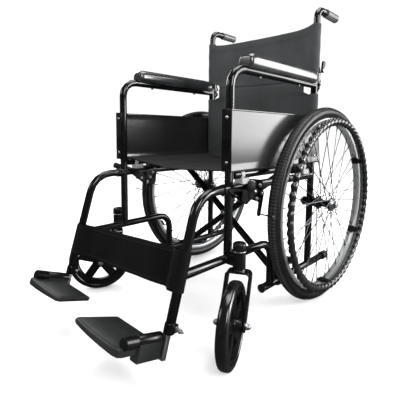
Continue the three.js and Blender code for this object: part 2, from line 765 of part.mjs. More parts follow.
function seatSling(parent) {
  const half = FRAME_X;
  const over = TUBE + GAP + SLING;
  const top = SEAT_RAIL_Z + over;
  const steps = 10;
  const upper = [];
  const lower = [];
  for (let i = 0; i <= steps; i++) {
    const t = i / steps;
    const x = -half + 2 * half * t;
    upper.push([x, top - sagAt(t, 18)]);
    lower.unshift([x, top - SLING - sagAt(t, 18)]);
  }
  const low = FRONT_POST_Y + TUBE + 8;
  const high = REAR_POST_Y - TUBE - 12;
  const sheet = plateInY([...upper, ...lower], low, high);
  const drapes = [-half, half].map((x) => {
    const outer = rod(vec(x, low, SEAT_RAIL_Z), vec(x, high, SEAT_RAIL_Z), over);
    const below = box(vec(x - 20, low - 5, SEAT_RAIL_Z - 20), vec(x + 20, high + 5, SEAT_RAIL_Z + 7.5));
    return cut(outer, below);
  });
  const railRoom = [-half, half].map((x) =>
    rod(vec(x, low - 5, SEAT_RAIL_Z), vec(x, high + 5, SEAT_RAIL_Z), TUBE + GAP));
  piece(parent, "seat_sling", cut(join(sheet, ...drapes), ...railRoom), "fabric");
}

// A sling between the two canes: a sheet with a sleeve round each.
function backSling(parent, name, low, corner, dip, sleeveLow, notch) {
  const outline = [[-FRAME_X, low], [FRAME_X, low]];
  const steps = 8;
  for (let i = 0; i <= steps; i++) {
    const t = i / steps;
    outline.push([FRAME_X - 2 * FRAME_X * t, corner - sagAt(t, dip)]);
  }
  const front = REAR_POST_Y - 6;
  const sheet = plateInY(outline, front, front + SLING);
  const over = TUBE + GAP + SLING;
  const sleeves = [-FRAME_X, FRAME_X].map((x) =>
    rod(vec(x, REAR_POST_Y, sleeveLow), vec(x, REAR_POST_Y, corner - notch), over));
  const rooms = [-FRAME_X, FRAME_X].map((x) =>
    rod(vec(x, REAR_POST_Y, low - 5), vec(x, REAR_POST_Y, corner + 5), TUBE + GAP));
  const notches = [-1, 1].map((side) =>
    box(
      vec(side * (FRAME_X - 4) - 26, REAR_POST_Y - 30, corner - notch - 0.1),
      vec(side * (FRAME_X - 4) + 26, REAR_POST_Y + 30, corner + 5),
    ));
  const body = cut(join(sheet, ...sleeves), ...rooms);
  piece(parent, name, notch ? cut(body, ...notches) : body, "fabric");
}

// A band looped round both hangers, square to them.
function calfStrap(parent) {
  const group = groupAt(parent, 0, HANGER_FOOT.y, HANGER_FOOT.z);
  group.rotation.x = -HANGER_LEAN;
  const low = 78;
  const high = 166;
  const slope = 0.06; // the band sits a little lower on the right hanger
  const shear = new THREE.Matrix4().makeShear(0, slope, 0, 0, 0, 0);
  const loop = (radius, start, end) => {
    const shape = new THREE.Shape();
    shape.absarc(FRAME_X, 0, radius, -Math.PI / 2, Math.PI / 2);
    shape.absarc(-FRAME_X, 0, radius, Math.PI / 2, (3 * Math.PI) / 2);
    const settings = { depth: end - start, bevelEnabled: false, curveSegments: 10 };
    const geometry = new THREE.ExtrudeGeometry(shape, settings);
    return solid(geometry.translate(0, 0, start).applyMatrix4(shear));
  };
  const room = TUBE + GAP;
  const band = cut(loop(room + SLING, low, high), loop(room, low - 5, high + 5));
  const railZ = (LOW_FRONT_Z - HANGER_FOOT.z) / Math.cos(HANGER_LEAN);
  const slots = [-FRAME_X, FRAME_X].map((x) => box(vec(x - 14, 0, railZ - 18), vec(x + 14, 30, railZ + 20)));
  piece(group, "calf_strap", cut(band, ...slots), "strap");
}

// ---------- the chair ----------

const chair = new THREE.Group();
chair.name = "wheelchair";

for (const [side, mirror] of [["left", 1], ["right", -1]]) {
  const half = new THREE.Group();
  half.scale.x = mirror;
  chair.add(half);
  sideFrame(half, side);
  armrestPad(half, side);
  sidePanel(half, side);
  upperCane(half, side);
  backLatch(half, side);
  rearWheel(half, side);
  caster(half, side);
  casterCap(half, side);
  footrest(half, side);
  brake(half, side);
}

foldingCross(chair);
seatSling(chair);
backSling(chair, "back_sling_upper", CANE_FOOT_Z + 2, 876, 14, CANE_FOOT_Z + 44, 0);
backSling(chair, "back_sling_lower", 454, CANE_FOOT_Z - 3, 0, 454, 42);
calfStrap(chair);

const bounds = new THREE.Box3().setFromObject(chair, true);
chair.position.y = -(bounds.min.y + bounds.max.y) / 2;

export default chair;
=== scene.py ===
from math import atan2, copysign, cos, degrees, pi, radians, sin, sqrt, tan

import bmesh
import bpy
import numpy as np
from mathutils import Matrix, Vector


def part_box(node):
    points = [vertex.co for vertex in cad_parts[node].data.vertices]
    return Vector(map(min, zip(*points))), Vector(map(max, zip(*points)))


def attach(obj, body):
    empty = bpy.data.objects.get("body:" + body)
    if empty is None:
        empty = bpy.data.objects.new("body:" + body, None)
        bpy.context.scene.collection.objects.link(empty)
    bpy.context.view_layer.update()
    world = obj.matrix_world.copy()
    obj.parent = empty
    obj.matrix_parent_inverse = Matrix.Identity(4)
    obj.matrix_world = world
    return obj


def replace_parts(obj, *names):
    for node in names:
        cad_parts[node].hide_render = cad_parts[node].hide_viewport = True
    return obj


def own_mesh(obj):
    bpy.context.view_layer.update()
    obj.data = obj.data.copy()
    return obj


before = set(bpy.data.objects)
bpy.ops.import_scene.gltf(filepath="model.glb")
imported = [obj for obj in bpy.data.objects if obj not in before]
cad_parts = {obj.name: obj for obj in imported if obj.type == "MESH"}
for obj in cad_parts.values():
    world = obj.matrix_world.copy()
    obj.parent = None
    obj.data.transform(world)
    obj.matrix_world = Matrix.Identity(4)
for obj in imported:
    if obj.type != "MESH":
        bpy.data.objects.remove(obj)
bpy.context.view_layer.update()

# ---------- driving dimensions, in millimetres ----------
# Points are given from the floor under the rear axle, before the chair is centred along Y.

MM = 0.001
tyre_low, tyre_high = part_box("left_rear_tyre")
AXLE_Y = (tyre_low.y + tyre_high.y) / 2
WHEEL_X = (tyre_low.x + tyre_high.x) / 2 / MM
WHEEL_R = (tyre_high.z - tyre_low.z) / 2 / MM
RIM_DEPTH = 33.0  # from the tyre's crown in to the rim's edge

TUBE = 11.0
FRAME_X = 228.0
FRONT_POST_Y = -414.0
REAR_POST_Y = -5.0
SADDLE_Y = (-362.0, -55.0)
ARM_Z = 686.0
SIDE_RAIL_Z = 395.0
SEAT_RAIL_Z = 428.0
LEAN = radians(16.1)
HANGER_FOOT = (-601.5, 102.0)
PLATE_PITCH = {"left": 0.0, "right": radians(6.5)}
STEM = (266.4, -415.0)
CASTER_R = 97.0
CASTER_TRAIL = 60.0
CASTER_SWIVEL = radians(26)
SLING = 2.6
COVER = TUBE + 0.3  # the inside of a cloth sleeve round a tube
MIRROR = {"left": 1, "right": -1}


def at(x, y, z):
    return Vector((x * MM, y * MM + AXLE_Y, z * MM))


# ---------- materials ----------


class Nodes:
    """A node tree that is built from its outputs back."""

    def __init__(self, tree):
        self.tree = tree

    def fill(self, node, inputs):
        """Links the inputs that are given another node's output, and sets the rest."""
        for key, value in inputs.items():
            if isinstance(value, bpy.types.NodeSocket):
                self.tree.links.new(value, node.inputs[key])
            else:
                node.inputs[key].default_value = value

    def node(self, kind, output, inputs=None, **settings):
        """One output of a new node."""
        made = self.tree.nodes.new(kind)
        for key, value in settings.items():
            setattr(made, key, value)
        self.fill(made, inputs or {})
        return made.outputs[output]


class Look(Nodes):
    """A principled material whose inputs are fed by procedural nodes."""

    def __init__(self, name, color, rough, metallic=0.0, coat=0.0, sheen=0.0, specular=0.5):
        self.material = bpy.data.materials.new(name)
        self.material.use_nodes = True
        self.material.diffuse_color = (*color, 1)
        super().__init__(self.material.node_tree)
        self.bsdf = self.tree.nodes["Principled BSDF"]
        self.fill(self.bsdf, {
            "Base Color": (*color, 1), "Roughness": rough, "Metallic": metallic, "Coat Weight": coat,
            "Coat Roughness": 0.08, "Sheen Weight": sheen, "Specular IOR Level": specular,
        })
        self.place = self.node("ShaderNodeTexCoord", "Object")
        self.normal = None

    def noise(self, scale, detail=3.0, stretch=(1, 1, 1)):
        place = self.node("ShaderNodeMapping", "Vector", {"Scale": stretch, "Vector": self.place})
        return self.node("ShaderNodeTexNoise", "Fac", {"Scale": scale, "Detail": detail, "Vector": place})

    def cells(self, scale):
        return self.node("ShaderNodeTexVoronoi", "Distance", {"Scale": scale, "Vector": self.place})

    def math(self, operation, a, b=0.0):
        return self.node("ShaderNodeMath", "Value", {0: a, 1: b}, operation=operation)

    def plus(self, a, b):
        return self.math("ADD", a, b)

    def minus(self, a, b):
        return self.math("SUBTRACT", a, b)

    def times(self, a, b):
        return self.math("MULTIPLY", a, b)

    def between(self, value, low, high):
        return self.node("ShaderNodeMapRange", "Result", {"To Min": low, "To Max": high, "Value": value})

    def axis(self, letter):
        return self.node("ShaderNodeSeparateXYZ", letter, {"Vector": self.place})

    def color_from(self, value, low, high, start=0.35, end=0.65):
        made = self.tree.nodes.new("ShaderNodeValToRGB")
        for element, position, color in zip(made.color_ramp.elements, (start, end), (low, high)):
            element.position = position
            element.color = (*color, 1)
        self.fill(made, {"Fac": value})
        self.fill(self.bsdf, {"Base Color": made.outputs["Color"]})

    def rough_from(self, value, low, high):
        self.fill(self.bsdf, {"Roughness": self.between(value, low, high)})

    def bump(self, height, strength, distance=0.001):
        inputs = {"Strength": strength, "Distance": distance, "Height": height}
        if self.normal:
            inputs["Normal"] = self.normal
        self.normal = self.node("ShaderNodeBump", "Normal", inputs)
        self.fill(self.bsdf, {"Normal": self.normal})


def paint_look():
    """Gloss black powder coat: faint orange peel and a little handling haze."""
    look = Look("paint_black", (0.006, 0.006, 0.007), 0.2, coat=0.3, specular=0.4)
    look.color_from(look.noise(7, 4), (0.001, 0.001, 0.0012), (0.0035, 0.0035, 0.004))
    look.rough_from(look.noise(26, 5), 0.08, 0.17)
    look.bump(look.noise(520, 2), 0.05, 0.0004)
    return look.material


def moulded_look(name, dark, light, rough, grain=900, specular=0.35):
    """Moulded plastic or rubber with a fine spark-eroded grain."""
    look = Look(name, light, sum(rough) / 2, specular=specular)
    look.color_from(look.noise(11, 4), dark, light)
    look.rough_from(look.noise(40, 4), *rough)
    look.bump(look.noise(grain, 3), 0.16, 0.0004)
    look.bump(look.noise(60, 2), 0.05, 0.001)
    return look.material


def panel_look():
    """Glossy black sheet plastic with faint upright drawing marks and wiping haze."""
    look = Look("panel_gloss", (0.012, 0.012, 0.013), 0.2, coat=0.5, specular=0.6)
    look.fill(look.bsdf, {"Coat Roughness": 0.16})
    look.color_from(look.noise(5, 3), (0.008, 0.008, 0.009), (0.016, 0.016, 0.017))
    look.rough_from(look.noise(9, 5, (1, 1, 3)), 0.16, 0.28)
    look.bump(look.noise(240, 2, (1, 1, 0.05)), 0.02, 0.0002)
    return look.material


def vinyl_look():
    """Padded armrest skin: soft grain with a waxy coat."""
    look = Look("pad_vinyl", (0.015, 0.016, 0.017), 0.3, coat=0.7, specular=0.7)
    look.fill(look.bsdf, {"Coat IOR": 1.6, "Coat Roughness": 0.2})
    look.color_from(look.noise(14, 4), (0.01, 0.011, 0.0115), (0.024, 0.025, 0.026))
    look.rough_from(look.noise(30, 4), 0.14, 0.24)
    look.bump(look.cells(520), 0.05, 0.0003)
    look.bump(look.noise(60, 3), 0.05, 0.001)
    return look.material


def cloth_look(name, dark, light, across, along, thread_mm=1.5, sheen=0.05, specular=0.25):
    """Plain-weave nylon: threads along two axes, slubs, faded patches and a slight sheen."""
    look = Look(name, light, 0.8, sheen=sheen, specular=specular)
    look.fill(look.bsdf, {"Sheen Roughness": 0.45})
    turn = pi / (thread_mm * MM)
    warp = look.math("SINE", look.times(look.axis(across), turn))
    weft = look.math("SINE", look.times(look.axis(along), turn))
    weave = look.times(warp, weft)
    slub = look.noise(700, 2, (1, 1, 0.15))
    patch = look.noise(6, 4)
    shade = look.plus(look.times(weave, 0.12), look.plus(look.times(slub, 0.35), patch))
    look.color_from(look.times(shade, 0.75), dark, light, 0.3, 0.75)
    look.rough_from(patch, 0.7, 0.9)
    look.bump(weave, 0.35, 0.0004)
    look.bump(look.noise(38, 3), 0.12, 0.003)
    return look.material


def tread_look():
    """Tyre rubber with a fine diamond tread on the crown, dustier in broad patches.
    The lugs are painted lighter and the grooves darker: painted light and painted shade on one rubber.
    """
    turns, slant_pitch, crown_half = 104, 18.0 * MM, 14.0 * MM
    look = Look("tyre_rubber", (0.012, 0.012, 0.013), 0.5, specular=0.35)
    across = look.minus(look.math("ABSOLUTE", look.axis("X")), WHEEL_X * MM)
    rise = look.minus(look.axis("Z"), WHEEL_R * MM)
    ahead = look.minus(look.axis("Y"), AXLE_Y)
    round_wheel = look.times(look.math("ARCTAN2", rise, ahead), turns)
    slant = look.times(across, 2 * pi / slant_pitch)
    one_way = look.math("SINE", look.plus(round_wheel, slant))
    other_way = look.math("SINE", look.minus(round_wheel, slant))
    crown = look.math("LESS_THAN", look.math("ABSOLUTE", across), crown_half)
    block = look.math("GREATER_THAN", look.times(one_way, other_way), -0.1)
    dust = look.times(look.noise(16, 6), 0.3)
    # the crown's lugs are painted lighter than its grooves: painted light on the lugs and painted shade in
    # the grooves; only the dust noise is real
    shade = look.plus(look.times(look.times(block, crown), 0.7), dust)
    look.color_from(shade, (0.0008, 0.001, 0.0012), (0.024, 0.024, 0.025), 0.1, 0.9)
    groove = look.times(look.minus(1.0, block), crown)
    look.rough_from(look.plus(groove, look.times(look.noise(50, 4), 0.3)), 0.26, 0.8)
    look.bump(look.minus(1.0, groove), 0.5, 0.001)
    look.bump(look.noise(800, 3), 0.25, 0.0004)
    return look.material


def metal_look(name, color, rough, brush=(1, 1, 1), metallic=1.0):
    """Bare or plated metal with fine lines along one direction and light smudges."""
    look = Look(name, color, sum(rough) / 2, metallic=metallic)
    dull = tuple(c * 0.85 for c in color)
    look.color_from(look.noise(22, 4), dull, color)
    look.rough_from(look.noise(70, 4, brush), *rough)
    look.bump(look.noise(600, 2, brush), 0.05, 0.0003)
    return look.material


PAINT = paint_look()
PLASTIC = moulded_look("plastic_black", (0.002, 0.002, 0.0025), (0.006, 0.006, 0.0065), (0.26, 0.42))
GLOSS_PLASTIC = moulded_look(
    "plastic_gloss", (0.002, 0.002, 0.0025), (0.005, 0.005, 0.0055), (0.14, 0.26), 400)
RING_PLASTIC = moulded_look(
    "plastic_ring", (0.003, 0.003, 0.0035), (0.009, 0.009, 0.0095), (0.16, 0.28), 400, 0.8)
# the grips' pale grey base stands in for the bright reflection of the lamps on black rubber: painted
# reflection
GRIP_RUBBER = moulded_look(
    "rubber_grip", (0.045, 0.046, 0.048), (0.08, 0.082, 0.085), (0.24, 0.36), specular=0.8)
RUBBER = moulded_look("rubber_black", (0.008, 0.008, 0.009), (0.02, 0.02, 0.021), (0.42, 0.6), 1300)
CASTER_RUBBER = moulded_look(
    "caster_rubber", (0.0012, 0.0012, 0.0016), (0.0035, 0.0035, 0.004), (0.12, 0.22), 700, 0.9)
CASTER_PLASTIC = moulded_look(
    "plastic_caster", (0.0015, 0.0015, 0.0018), (0.004, 0.004, 0.0045), (0.3, 0.45), 500, 0.25)
FOOTPLATE_PLASTIC = moulded_look(
    "plastic_footplate", (0.008, 0.009, 0.009), (0.017, 0.018, 0.018), (0.36, 0.5), 700)
NYLON = moulded_look("nylon_pale", (0.28, 0.28, 0.275), (0.38, 0.38, 0.37), (0.35, 0.5))
PANEL = panel_look()
VINYL = vinyl_look()
BACK_CLOTH = cloth_look("cloth_back", (0.024, 0.026, 0.027), (0.05, 0.054, 0.055), "X", "Z")
SEAT_CLOTH = cloth_look("cloth_seat", (0.0025, 0.0025, 0.003), (0.0065, 0.007, 0.0075), "X", "Y")
STRAP_CLOTH = cloth_look(
    "cloth_strap", (0.0008, 0.0008, 0.0009), (0.004, 0.004, 0.004), "X", "Z", 1.2, 0.015, 0.12)
THREAD = cloth_look("thread_grey", (0.012, 0.012, 0.013), (0.03, 0.03, 0.031), "X", "Z", 0.4)
TREAD = tread_look()
RIM_METAL = metal_look("rim_aluminium", (0.43, 0.44, 0.45), (0.32, 0.44), metallic=0.75)
SPOKE_METAL = metal_look("spoke_steel", (0.12, 0.125, 0.135), (0.24, 0.36))
ZINC = metal_look("zinc_plate", (0.62, 0.64, 0.67), (0.26, 0.46), (1, 1, 0.2))
CHROME = metal_look("chrome_plate", (0.86, 0.87, 0.88), (0.06, 0.16))

# ---------- mesh helpers ----------


class Shape:
    """Points and faces gathered from several closed solids, in millimetres from the axle's foot."""

    def __init__(self):
        self.points = []
        self.faces = []

    def add(self, points, faces):
        start = len(self.points)
        self.points += [tuple(p) for p in points]
        self.faces += [tuple(start + i for i in face) for face in faces]
        return self

    def object(self, name, material, body, slot, mirror=1, sharp=40.0):
        points = [at(x * mirror, y, z) for x, y, z in self.points]
        mesh = bpy.data.meshes.new(name)
        mesh.from_pydata(points, [], self.faces)
        made = bmesh.new()
        made.from_mesh(mesh)
        bmesh.ops.recalc_face_normals(made, faces=made.faces)
        made.to_mesh(mesh)
        made.free()
        mesh.polygons.foreach_set("use_smooth", [True] * len(mesh.polygons))
        mesh.set_sharp_from_angle(angle=radians(sharp))
        mesh.materials.append(material)
        obj = bpy.data.objects.new(name, mesh)
        bpy.context.scene.collection.objects.link(obj)
        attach(obj, body)
        return obj

    def fitted(self, side, name, material, body, slot, sharp=40.0, node=None):
        """The object on one side of the chair, standing in for that side's CAD node if one is named."""
        obj = self.object(f"{side}_{name}", material, f"{side}_{body}", slot, MIRROR[side], sharp)
        if node:
            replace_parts(obj, f"{side}_{node}")


def axes(axis):
    """A unit axis and two directions square to it."""
    along = Vector(axis).normalized()
    side = along.orthogonal().normalized()
    return along, side, along.cross(side)


def loops(rings, closed):
    """Points and faces of a skin over rings of equal length. An open run gets flat end caps."""
    count, sides = len(rings), len(rings[0])
    faces = []
    for i in range(count if closed else count - 1):
        j = (i + 1) % count
        for k in range(sides):
            n = (k + 1) % sides
            faces.append((i * sides + k, i * sides + n, j * sides + n, j * sides + k))
    if not closed:
        faces.append(tuple(range(sides))[::-1])
        faces.append(tuple((count - 1) * sides + k for k in range(sides)))
    return [p for ring in rings for p in ring], faces


def turned(profile, steps, centre, axis=(1, 0, 0), lift=lambda i, k: 0.0):
    """A closed outline of (along, radius) turned about an axis. lift(turn, k) is added to a radius."""
    ax, side, up = axes(axis)
    centre = Vector(centre)
    rings = []
    for i in range(steps):
        turn = 2 * pi * i / steps
        out = side * cos(turn) + up * sin(turn)
        rings.append([centre + ax * along + out * (r + lift(i, k)) for k, (along, r) in enumerate(profile)])
    return loops(rings, True)


def pin(start, end, radii, steps=24):
    """A solid of revolution between two points. radii is a list of (share along, radius)."""
    start, end = Vector(start), Vector(end)
    _, side, up = axes(end - start)
    turns = [2 * pi * k / steps for k in range(steps)]
    outward = [side * cos(turn) + up * sin(turn) for turn in turns]
    return loops([[start.lerp(end, share) + out * r for out in outward] for share, r in radii], False)


def slab(outline, low, high, frame_of=None, edge=1.0, segments=2):
    """A plate cut to an outline, from low to high, with rounded rims. frame_of(u, v, w) places a point."""
    made = bmesh.new()
    base = [made.verts.new((u, v, low)) for u, v in outline]
    face = made.faces.new(base)
    out = bmesh.ops.extrude_face_region(made, geom=[face])
    moved = [g for g in out["geom"] if isinstance(g, bmesh.types.BMVert)]
    bmesh.ops.translate(made, verts=moved, vec=(0, 0, high - low))
    rims = [e for e in made.edges if abs(e.verts[0].co.z - e.verts[1].co.z) < 1e-6]
    if edge:
        bmesh.ops.bevel(made, geom=rims, offset=edge, segments=segments, profile=0.5, affect="EDGES",
                        clamp_overlap=True)
    made.verts.index_update()
    place = frame_of or (lambda u, v, w: (u, v, w))
    points = [place(*v.co) for v in made.verts]
    faces = [tuple(v.index for v in f.verts) for f in made.faces]
    made.free()
    return points, faces


def in_x(u, v, w):
    """An outline of (y, z) with its thickness along X."""
    return (w, u, v)


def arc(centre, radius, start, end, steps):
    """Points on an arc in a plane, angles in degrees."""
    turns = [radians(start + (end - start) * i / steps) for i in range(steps + 1)]
    return [(centre[0] + radius * cos(turn), centre[1] + radius * sin(turn)) for turn in turns]


def rounded(corners, radius, steps=5):
    """An outline with each corner replaced by an arc. radius is one number or one for each corner."""
    out = []
    count = len(corners)
    for i in range(count):
        r = radius if isinstance(radius, (int, float)) else radius[i]
        here = Vector(corners[i])
        back = (Vector(corners[i - 1]) - here).normalized()
        ahead = (Vector(corners[(i + 1) % count]) - here).normalized()
        half = back.angle(ahead) / 2
        if r <= 0 or half > 1.56:
            out.append(tuple(here))
            continue
        centre = here + (back + ahead).normalized() * (r / sin(half))
        first = here + back * (r / tan(half)) - centre
        last = here + ahead * (r / tan(half)) - centre
        turn = first.angle_signed(last)
        for s in range(steps + 1):
            spin = -turn * s / steps
            out.append((
                centre.x + first.x * cos(spin) - first.y * sin(spin),
                centre.y + first.x * sin(spin) + first.y * cos(spin),
            ))
    return out


def sheet(surface, nu, nv, thickness):
    """A closed sheet about a middle surface surface(u, v)."""
    us = [i / nu for i in range(nu + 1)]
    vs = [j / nv for j in range(nv + 1)]
    grid = np.array([[surface(u, v) for v in vs] for u in us], float)
    half = np.array([[thickness(u, v) / 2 for v in vs] for u in us])[..., None]
    normal = np.cross(np.gradient(grid, axis=0), np.gradient(grid, axis=1))
    normal /= np.linalg.norm(normal, axis=2, keepdims=True)
    points = np.concatenate([(grid + normal * half).reshape(-1, 3), (grid - normal * half).reshape(-1, 3)])
    rows, cols = len(us), len(vs)
    other = rows * cols
    faces = []
    for i in range(nu):
        for j in range(nv):
            a = i * cols + j
            corners = (a, a + 1, a + cols + 1, a + cols)
            faces.append(corners)
            faces.append(tuple(other + corner for corner in corners[::-1]))
    border = [i * cols for i in range(rows)] + [nu * cols + j for j in range(1, cols)]
    border += [i * cols + nv for i in range(nu - 1, -1, -1)] + list(range(nv - 1, 0, -1))
    for k, a in enumerate(border):
        b = border[(k + 1) % len(border)]
        faces.append((b, a, other + a, other + b))
    return points, faces


def stitches(shape, line, length=3.4, gap=1.4, radius=0.45):
    """Short thread capsules along a polyline of points."""
    capsule = [(0, radius * 0.4), (0.2, radius), (0.8, radius), (1, radius * 0.4)]
    carry = 0.0
    for a, b in zip(line, line[1:]):
        span = (b - a).length
        while carry + length <= span:
            shape.add(*pin(a.lerp(b, carry / span), a.lerp(b, (carry + length) / span), capsule, 5))
            carry += length + gap
        carry = max(0.0, carry - span)


def screw_head(shape, centre, axis, radius, height):
    """A pan head with a raised cross, its foot at centre and its top along axis."""
    centre = Vector(centre)
    ax, side, up = axes(axis)
    top = centre + ax * height
    shape.add(*pin(centre, top, [(0, radius), (0.35, radius), (0.75, radius * 0.82), (1, radius * 0.45)], 18))
    for bar in (side, up):
        a = top - ax * 0.1 * height - bar * radius * 0.4
        shape.add(*pin(a, a + bar * radius * 0.8, [(0, radius * 0.1), (1, radius * 0.1)], 4))


def nut(shape, centre, axis, radius, height, bolt):
    """A chamfered hexagon nut on its washer, and a bolt end standing out of it."""
    centre, ax = Vector(centre), Vector(axis).normalized()
    hexagon = [(0, radius * 0.93), (0.12, radius), (0.85, radius), (1, radius * 0.9)]
    shank = [(0, radius * 0.5), (0.9, radius * 0.5), (1, radius * 0.4)]
    shape.add(*pin(centre, centre + ax * height, hexagon, 6))
    shape.add(*pin(centre - ax * 0.3, centre + ax * 0.6, [(0, radius * 1.25), (1, radius * 1.2)], 20))
    shape.add(*pin(centre, centre + ax * (height + bolt), shank, 14))


# ---------- carried-over CAD nodes ----------

CAD_LOOKS = {
    "frame": PAINT, "rail_plug": PLASTIC, "tipping_tip": RUBBER, "upper_cane": PAINT, "back_latch": PLASTIC,
    "rear_axle": ZINC, "caster_axle": ZINC, "caster_wheel": CASTER_PLASTIC, "footrest_tube": ZINC,
    "brake_bracket": PAINT, "brake_lever": PLASTIC,
}


def finish_node(name, material):
    """Smooths a CAD node's round faces, softens its edges and gives it its material."""
    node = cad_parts[name]
    mesh = node.data
    stale = mesh.attributes.get("custom_normal")
    if stale:
        mesh.attributes.remove(stale)
    mesh.materials.clear()
    mesh.materials.append(material)
    mesh.polygons.foreach_set("use_smooth", [True] * len(mesh.polygons))
    weld = node.modifiers.new("weld", "WELD")
    weld.merge_threshold = 0.02 * MM
    rounding = node.modifiers.new("rounding", "BEVEL")
    rounding.width = 0.8 * MM
    rounding.segments = 2
    rounding.limit_method = "ANGLE"
    rounding.angle_limit = radians(42)
    split = node.modifiers.new("split", "EDGE_SPLIT")
    split.split_angle = radians(38)


def carried_nodes():
    for side in MIRROR:
        for part, material in CAD_LOOKS.items():
            finish_node(f"{side}_{part}", material)
    for name, material in (("brace_front", PAINT), ("brace_rear", PAINT), ("brace_pivot_bolt", ZINC)):
        finish_node(name, material)


# ---------- rear wheels ----------


def both_walls(half, crown):
    """A tyre's closed outline from one half of it, listed from the bed up, and the radius of its crown."""
    across, bed = half[0]
    return [(-across, bed), *half, (0, crown), *((-x, r) for x, r in reversed(half[1:]))]


def rear_tyre(side):
    outer, bed = WHEEL_R, WHEEL_R - RIM_DEPTH
    wall = [(9, bed + 0.3), (12, bed + 3), (14.6, bed + 8), (16.2, bed + 13), (16.9, bed + 17.5)]
    crown = [(16.2, 11.5), (14.2, 7.4), (11.3, 4.2), (7.6, 1.9), (3.6, 0.8)]
    profile = both_walls(wall + [(x, outer - depth) for x, depth in crown], outer - 0.5)
    first = len(wall) + 1
    rows = 2 * len(crown) + 1
    steps = 480

    def blocks(i, k):
        """Tread: a groove each side of the crown, and lugs set one row against the next."""
        row = k - first
        if not 0 <= row < rows:
            return 0.0
        from_middle = abs(row - rows // 2)
        if from_middle == 2:
            return -1.8
        gap = (i + row) % 2
        if from_middle > 2:
            return -2.4 if gap else 0.5
        return -1.0 if gap else 0.3

    shape = Shape().add(*turned(profile, steps, (WHEEL_X, 0, WHEEL_R), lift=blocks))
    shape.fitted(side, "tyre_treaded", TREAD, "wheel", "tyre", 30, node="rear_tyre")


def wheel_metal(side):
    """Rim, crossed spokes with nipples, hub and its bright outer cup."""
    centre = Vector((WHEEL_X, 0, WHEEL_R))
    outer = WHEEL_R - RIM_DEPTH
    half = [(11.6, 0.4), (12.2, 2), (12.2, 9), (10.6, 12.4), (5, 15.6)]
    well = [(9.6, 0.4), (9.2, 3.6), (-9.2, 3.6), (-9.6, 0.4)]
    rim = [(-x, depth) for x, depth in half] + half[::-1] + well
    ring = Shape().add(*turned([(x, outer - depth) for x, depth in rim], 180, centre))
    ring.fitted(side, "rim", RIM_METAL, "wheel", "rim", 28, node="rim_and_spokes")

    spokes = Shape()
    count, lead, flange_r, reach, wire_r = 36, radians(62), 18.5, outer - 15.0, 1.45
    for i in range(count):
        turn = 2 * pi * (i + 0.5) / count
        outboard = i % 2
        way = 1 if (i // 2) % 2 else -1
        flange_x = 23.6 if outboard else -20.2
        y, z = flange_r * sin(turn + way * lead), flange_r * cos(turn + way * lead)
        start = centre + Vector((flange_x + 1.9 * way, y, z))
        head = centre + Vector((flange_x - 1.9 * way, y, z))
        end = centre + Vector((1.6 if outboard else -1.6, reach * sin(turn), reach * cos(turn)))
        spokes.add(*pin(start, end, [(0, wire_r), (0.93, wire_r)], 8))
        spokes.add(*pin(start.lerp(end, 0.93), end, [(0, 1.5), (0.05, 1.9), (1, 2.3)], 8))
        spokes.add(*pin(head, start, [(0, 1.9), (0.3, 2.1), (0.35, 1.0), (1, 1.0)], 8))
    spokes.fitted(side, "spokes", SPOKE_METAL, "wheel", "rim")

    shell = [
        (-31.5, 6.6), (-31.5, 11), (-30, 12), (-24, 12.5), (-22.4, 14), (-22.4, 20.5), (-21.4, 21.5),
        (-18.8, 21.5), (-17.8, 20.5), (-16.8, 14), (-12, 12), (0, 12), (14, 13.5), (20, 16), (21.4, 20.5),
        (22.4, 21.5), (25, 21.5), (26, 20.5), (26.5, 17), (29, 15.5), (33, 14.5), (35.5, 13), (35.5, 6.6),
    ]
    hub = Shape().add(*turned(shell, 48, centre))
    hub.fitted(side, "hub_shell", GLOSS_PLASTIC, "wheel", "black_plastic", 35, node="hub")
    bowl = [(26.4, 12), (26.4, 19.2), (27.4, 20.4), (29.5, 19.6), (34.2, 15.4), (36.4, 14.2), (36.4, 12)]
    cup = Shape().add(*turned(bowl, 40, centre))
    cup.fitted(side, "hub_cup", ZINC, "wheel", "steel", 35)


def handrim(side):
    """A ring with a rippled finger grip, carried on six short tabs."""
    centre = Vector((WHEEL_X + 34.0, 0, WHEEL_R))
    waves, sides, middle_r = 66, 14, 262.0
    steps = waves * 8
    rings = []
    for i in range(steps):
        turn = 2 * pi * i / steps
        swell = cos(waves * turn)
        radial = Vector((0, sin(turn), cos(turn)))
        width = 9.0 + 0.8 * swell
        ring = []
        for k in range(sides):
            a = 2 * pi * k / sides
            out = cos(a)
            reach = 10.4 + 3.4 * swell if out > 0 else 10.0 - 2.8 * swell
            ring.append(centre + Vector((width * sin(a), 0, 0)) + radial * (middle_r + reach * out))
        rings.append(ring)
    grip = Shape().add(*loops(rings, True))
    grip.fitted(side, "handrim_grip", RING_PLASTIC, "wheel", "black_plastic", 60, node="handrim")
    outline = [(-11, -7), (11, -7), (12, 12), (9, 20), (9, 31), (-9, 31), (-9, 20), (-12, 12)]
    tabs = Shape()
    for i in range(6):
        turn = radians(60 * i)
        radial = Vector((0, sin(turn), cos(turn)))
        across = Vector((0, cos(turn), -sin(turn)))

        def place(u, v, w, radial=radial, across=across):
            return Vector((WHEEL_X + v, 0, WHEEL_R)) + across * u + radial * w

        tabs.add(*slab(outline, 250.5, 258.0, place, 1.6))
    tabs.fitted(side, "handrim_tabs", PLASTIC, "wheel", "black_plastic")


# ---------- casters ----------


def caster_frame(x, y, z):
    """A point of a caster, given from its stem's foot with the wheel leading along -Y."""
    c, s = cos(CASTER_SWIVEL), sin(CASTER_SWIVEL)
    return Vector((STEM[0] + x * c - y * s, STEM[1] + x * s + y * c, z))


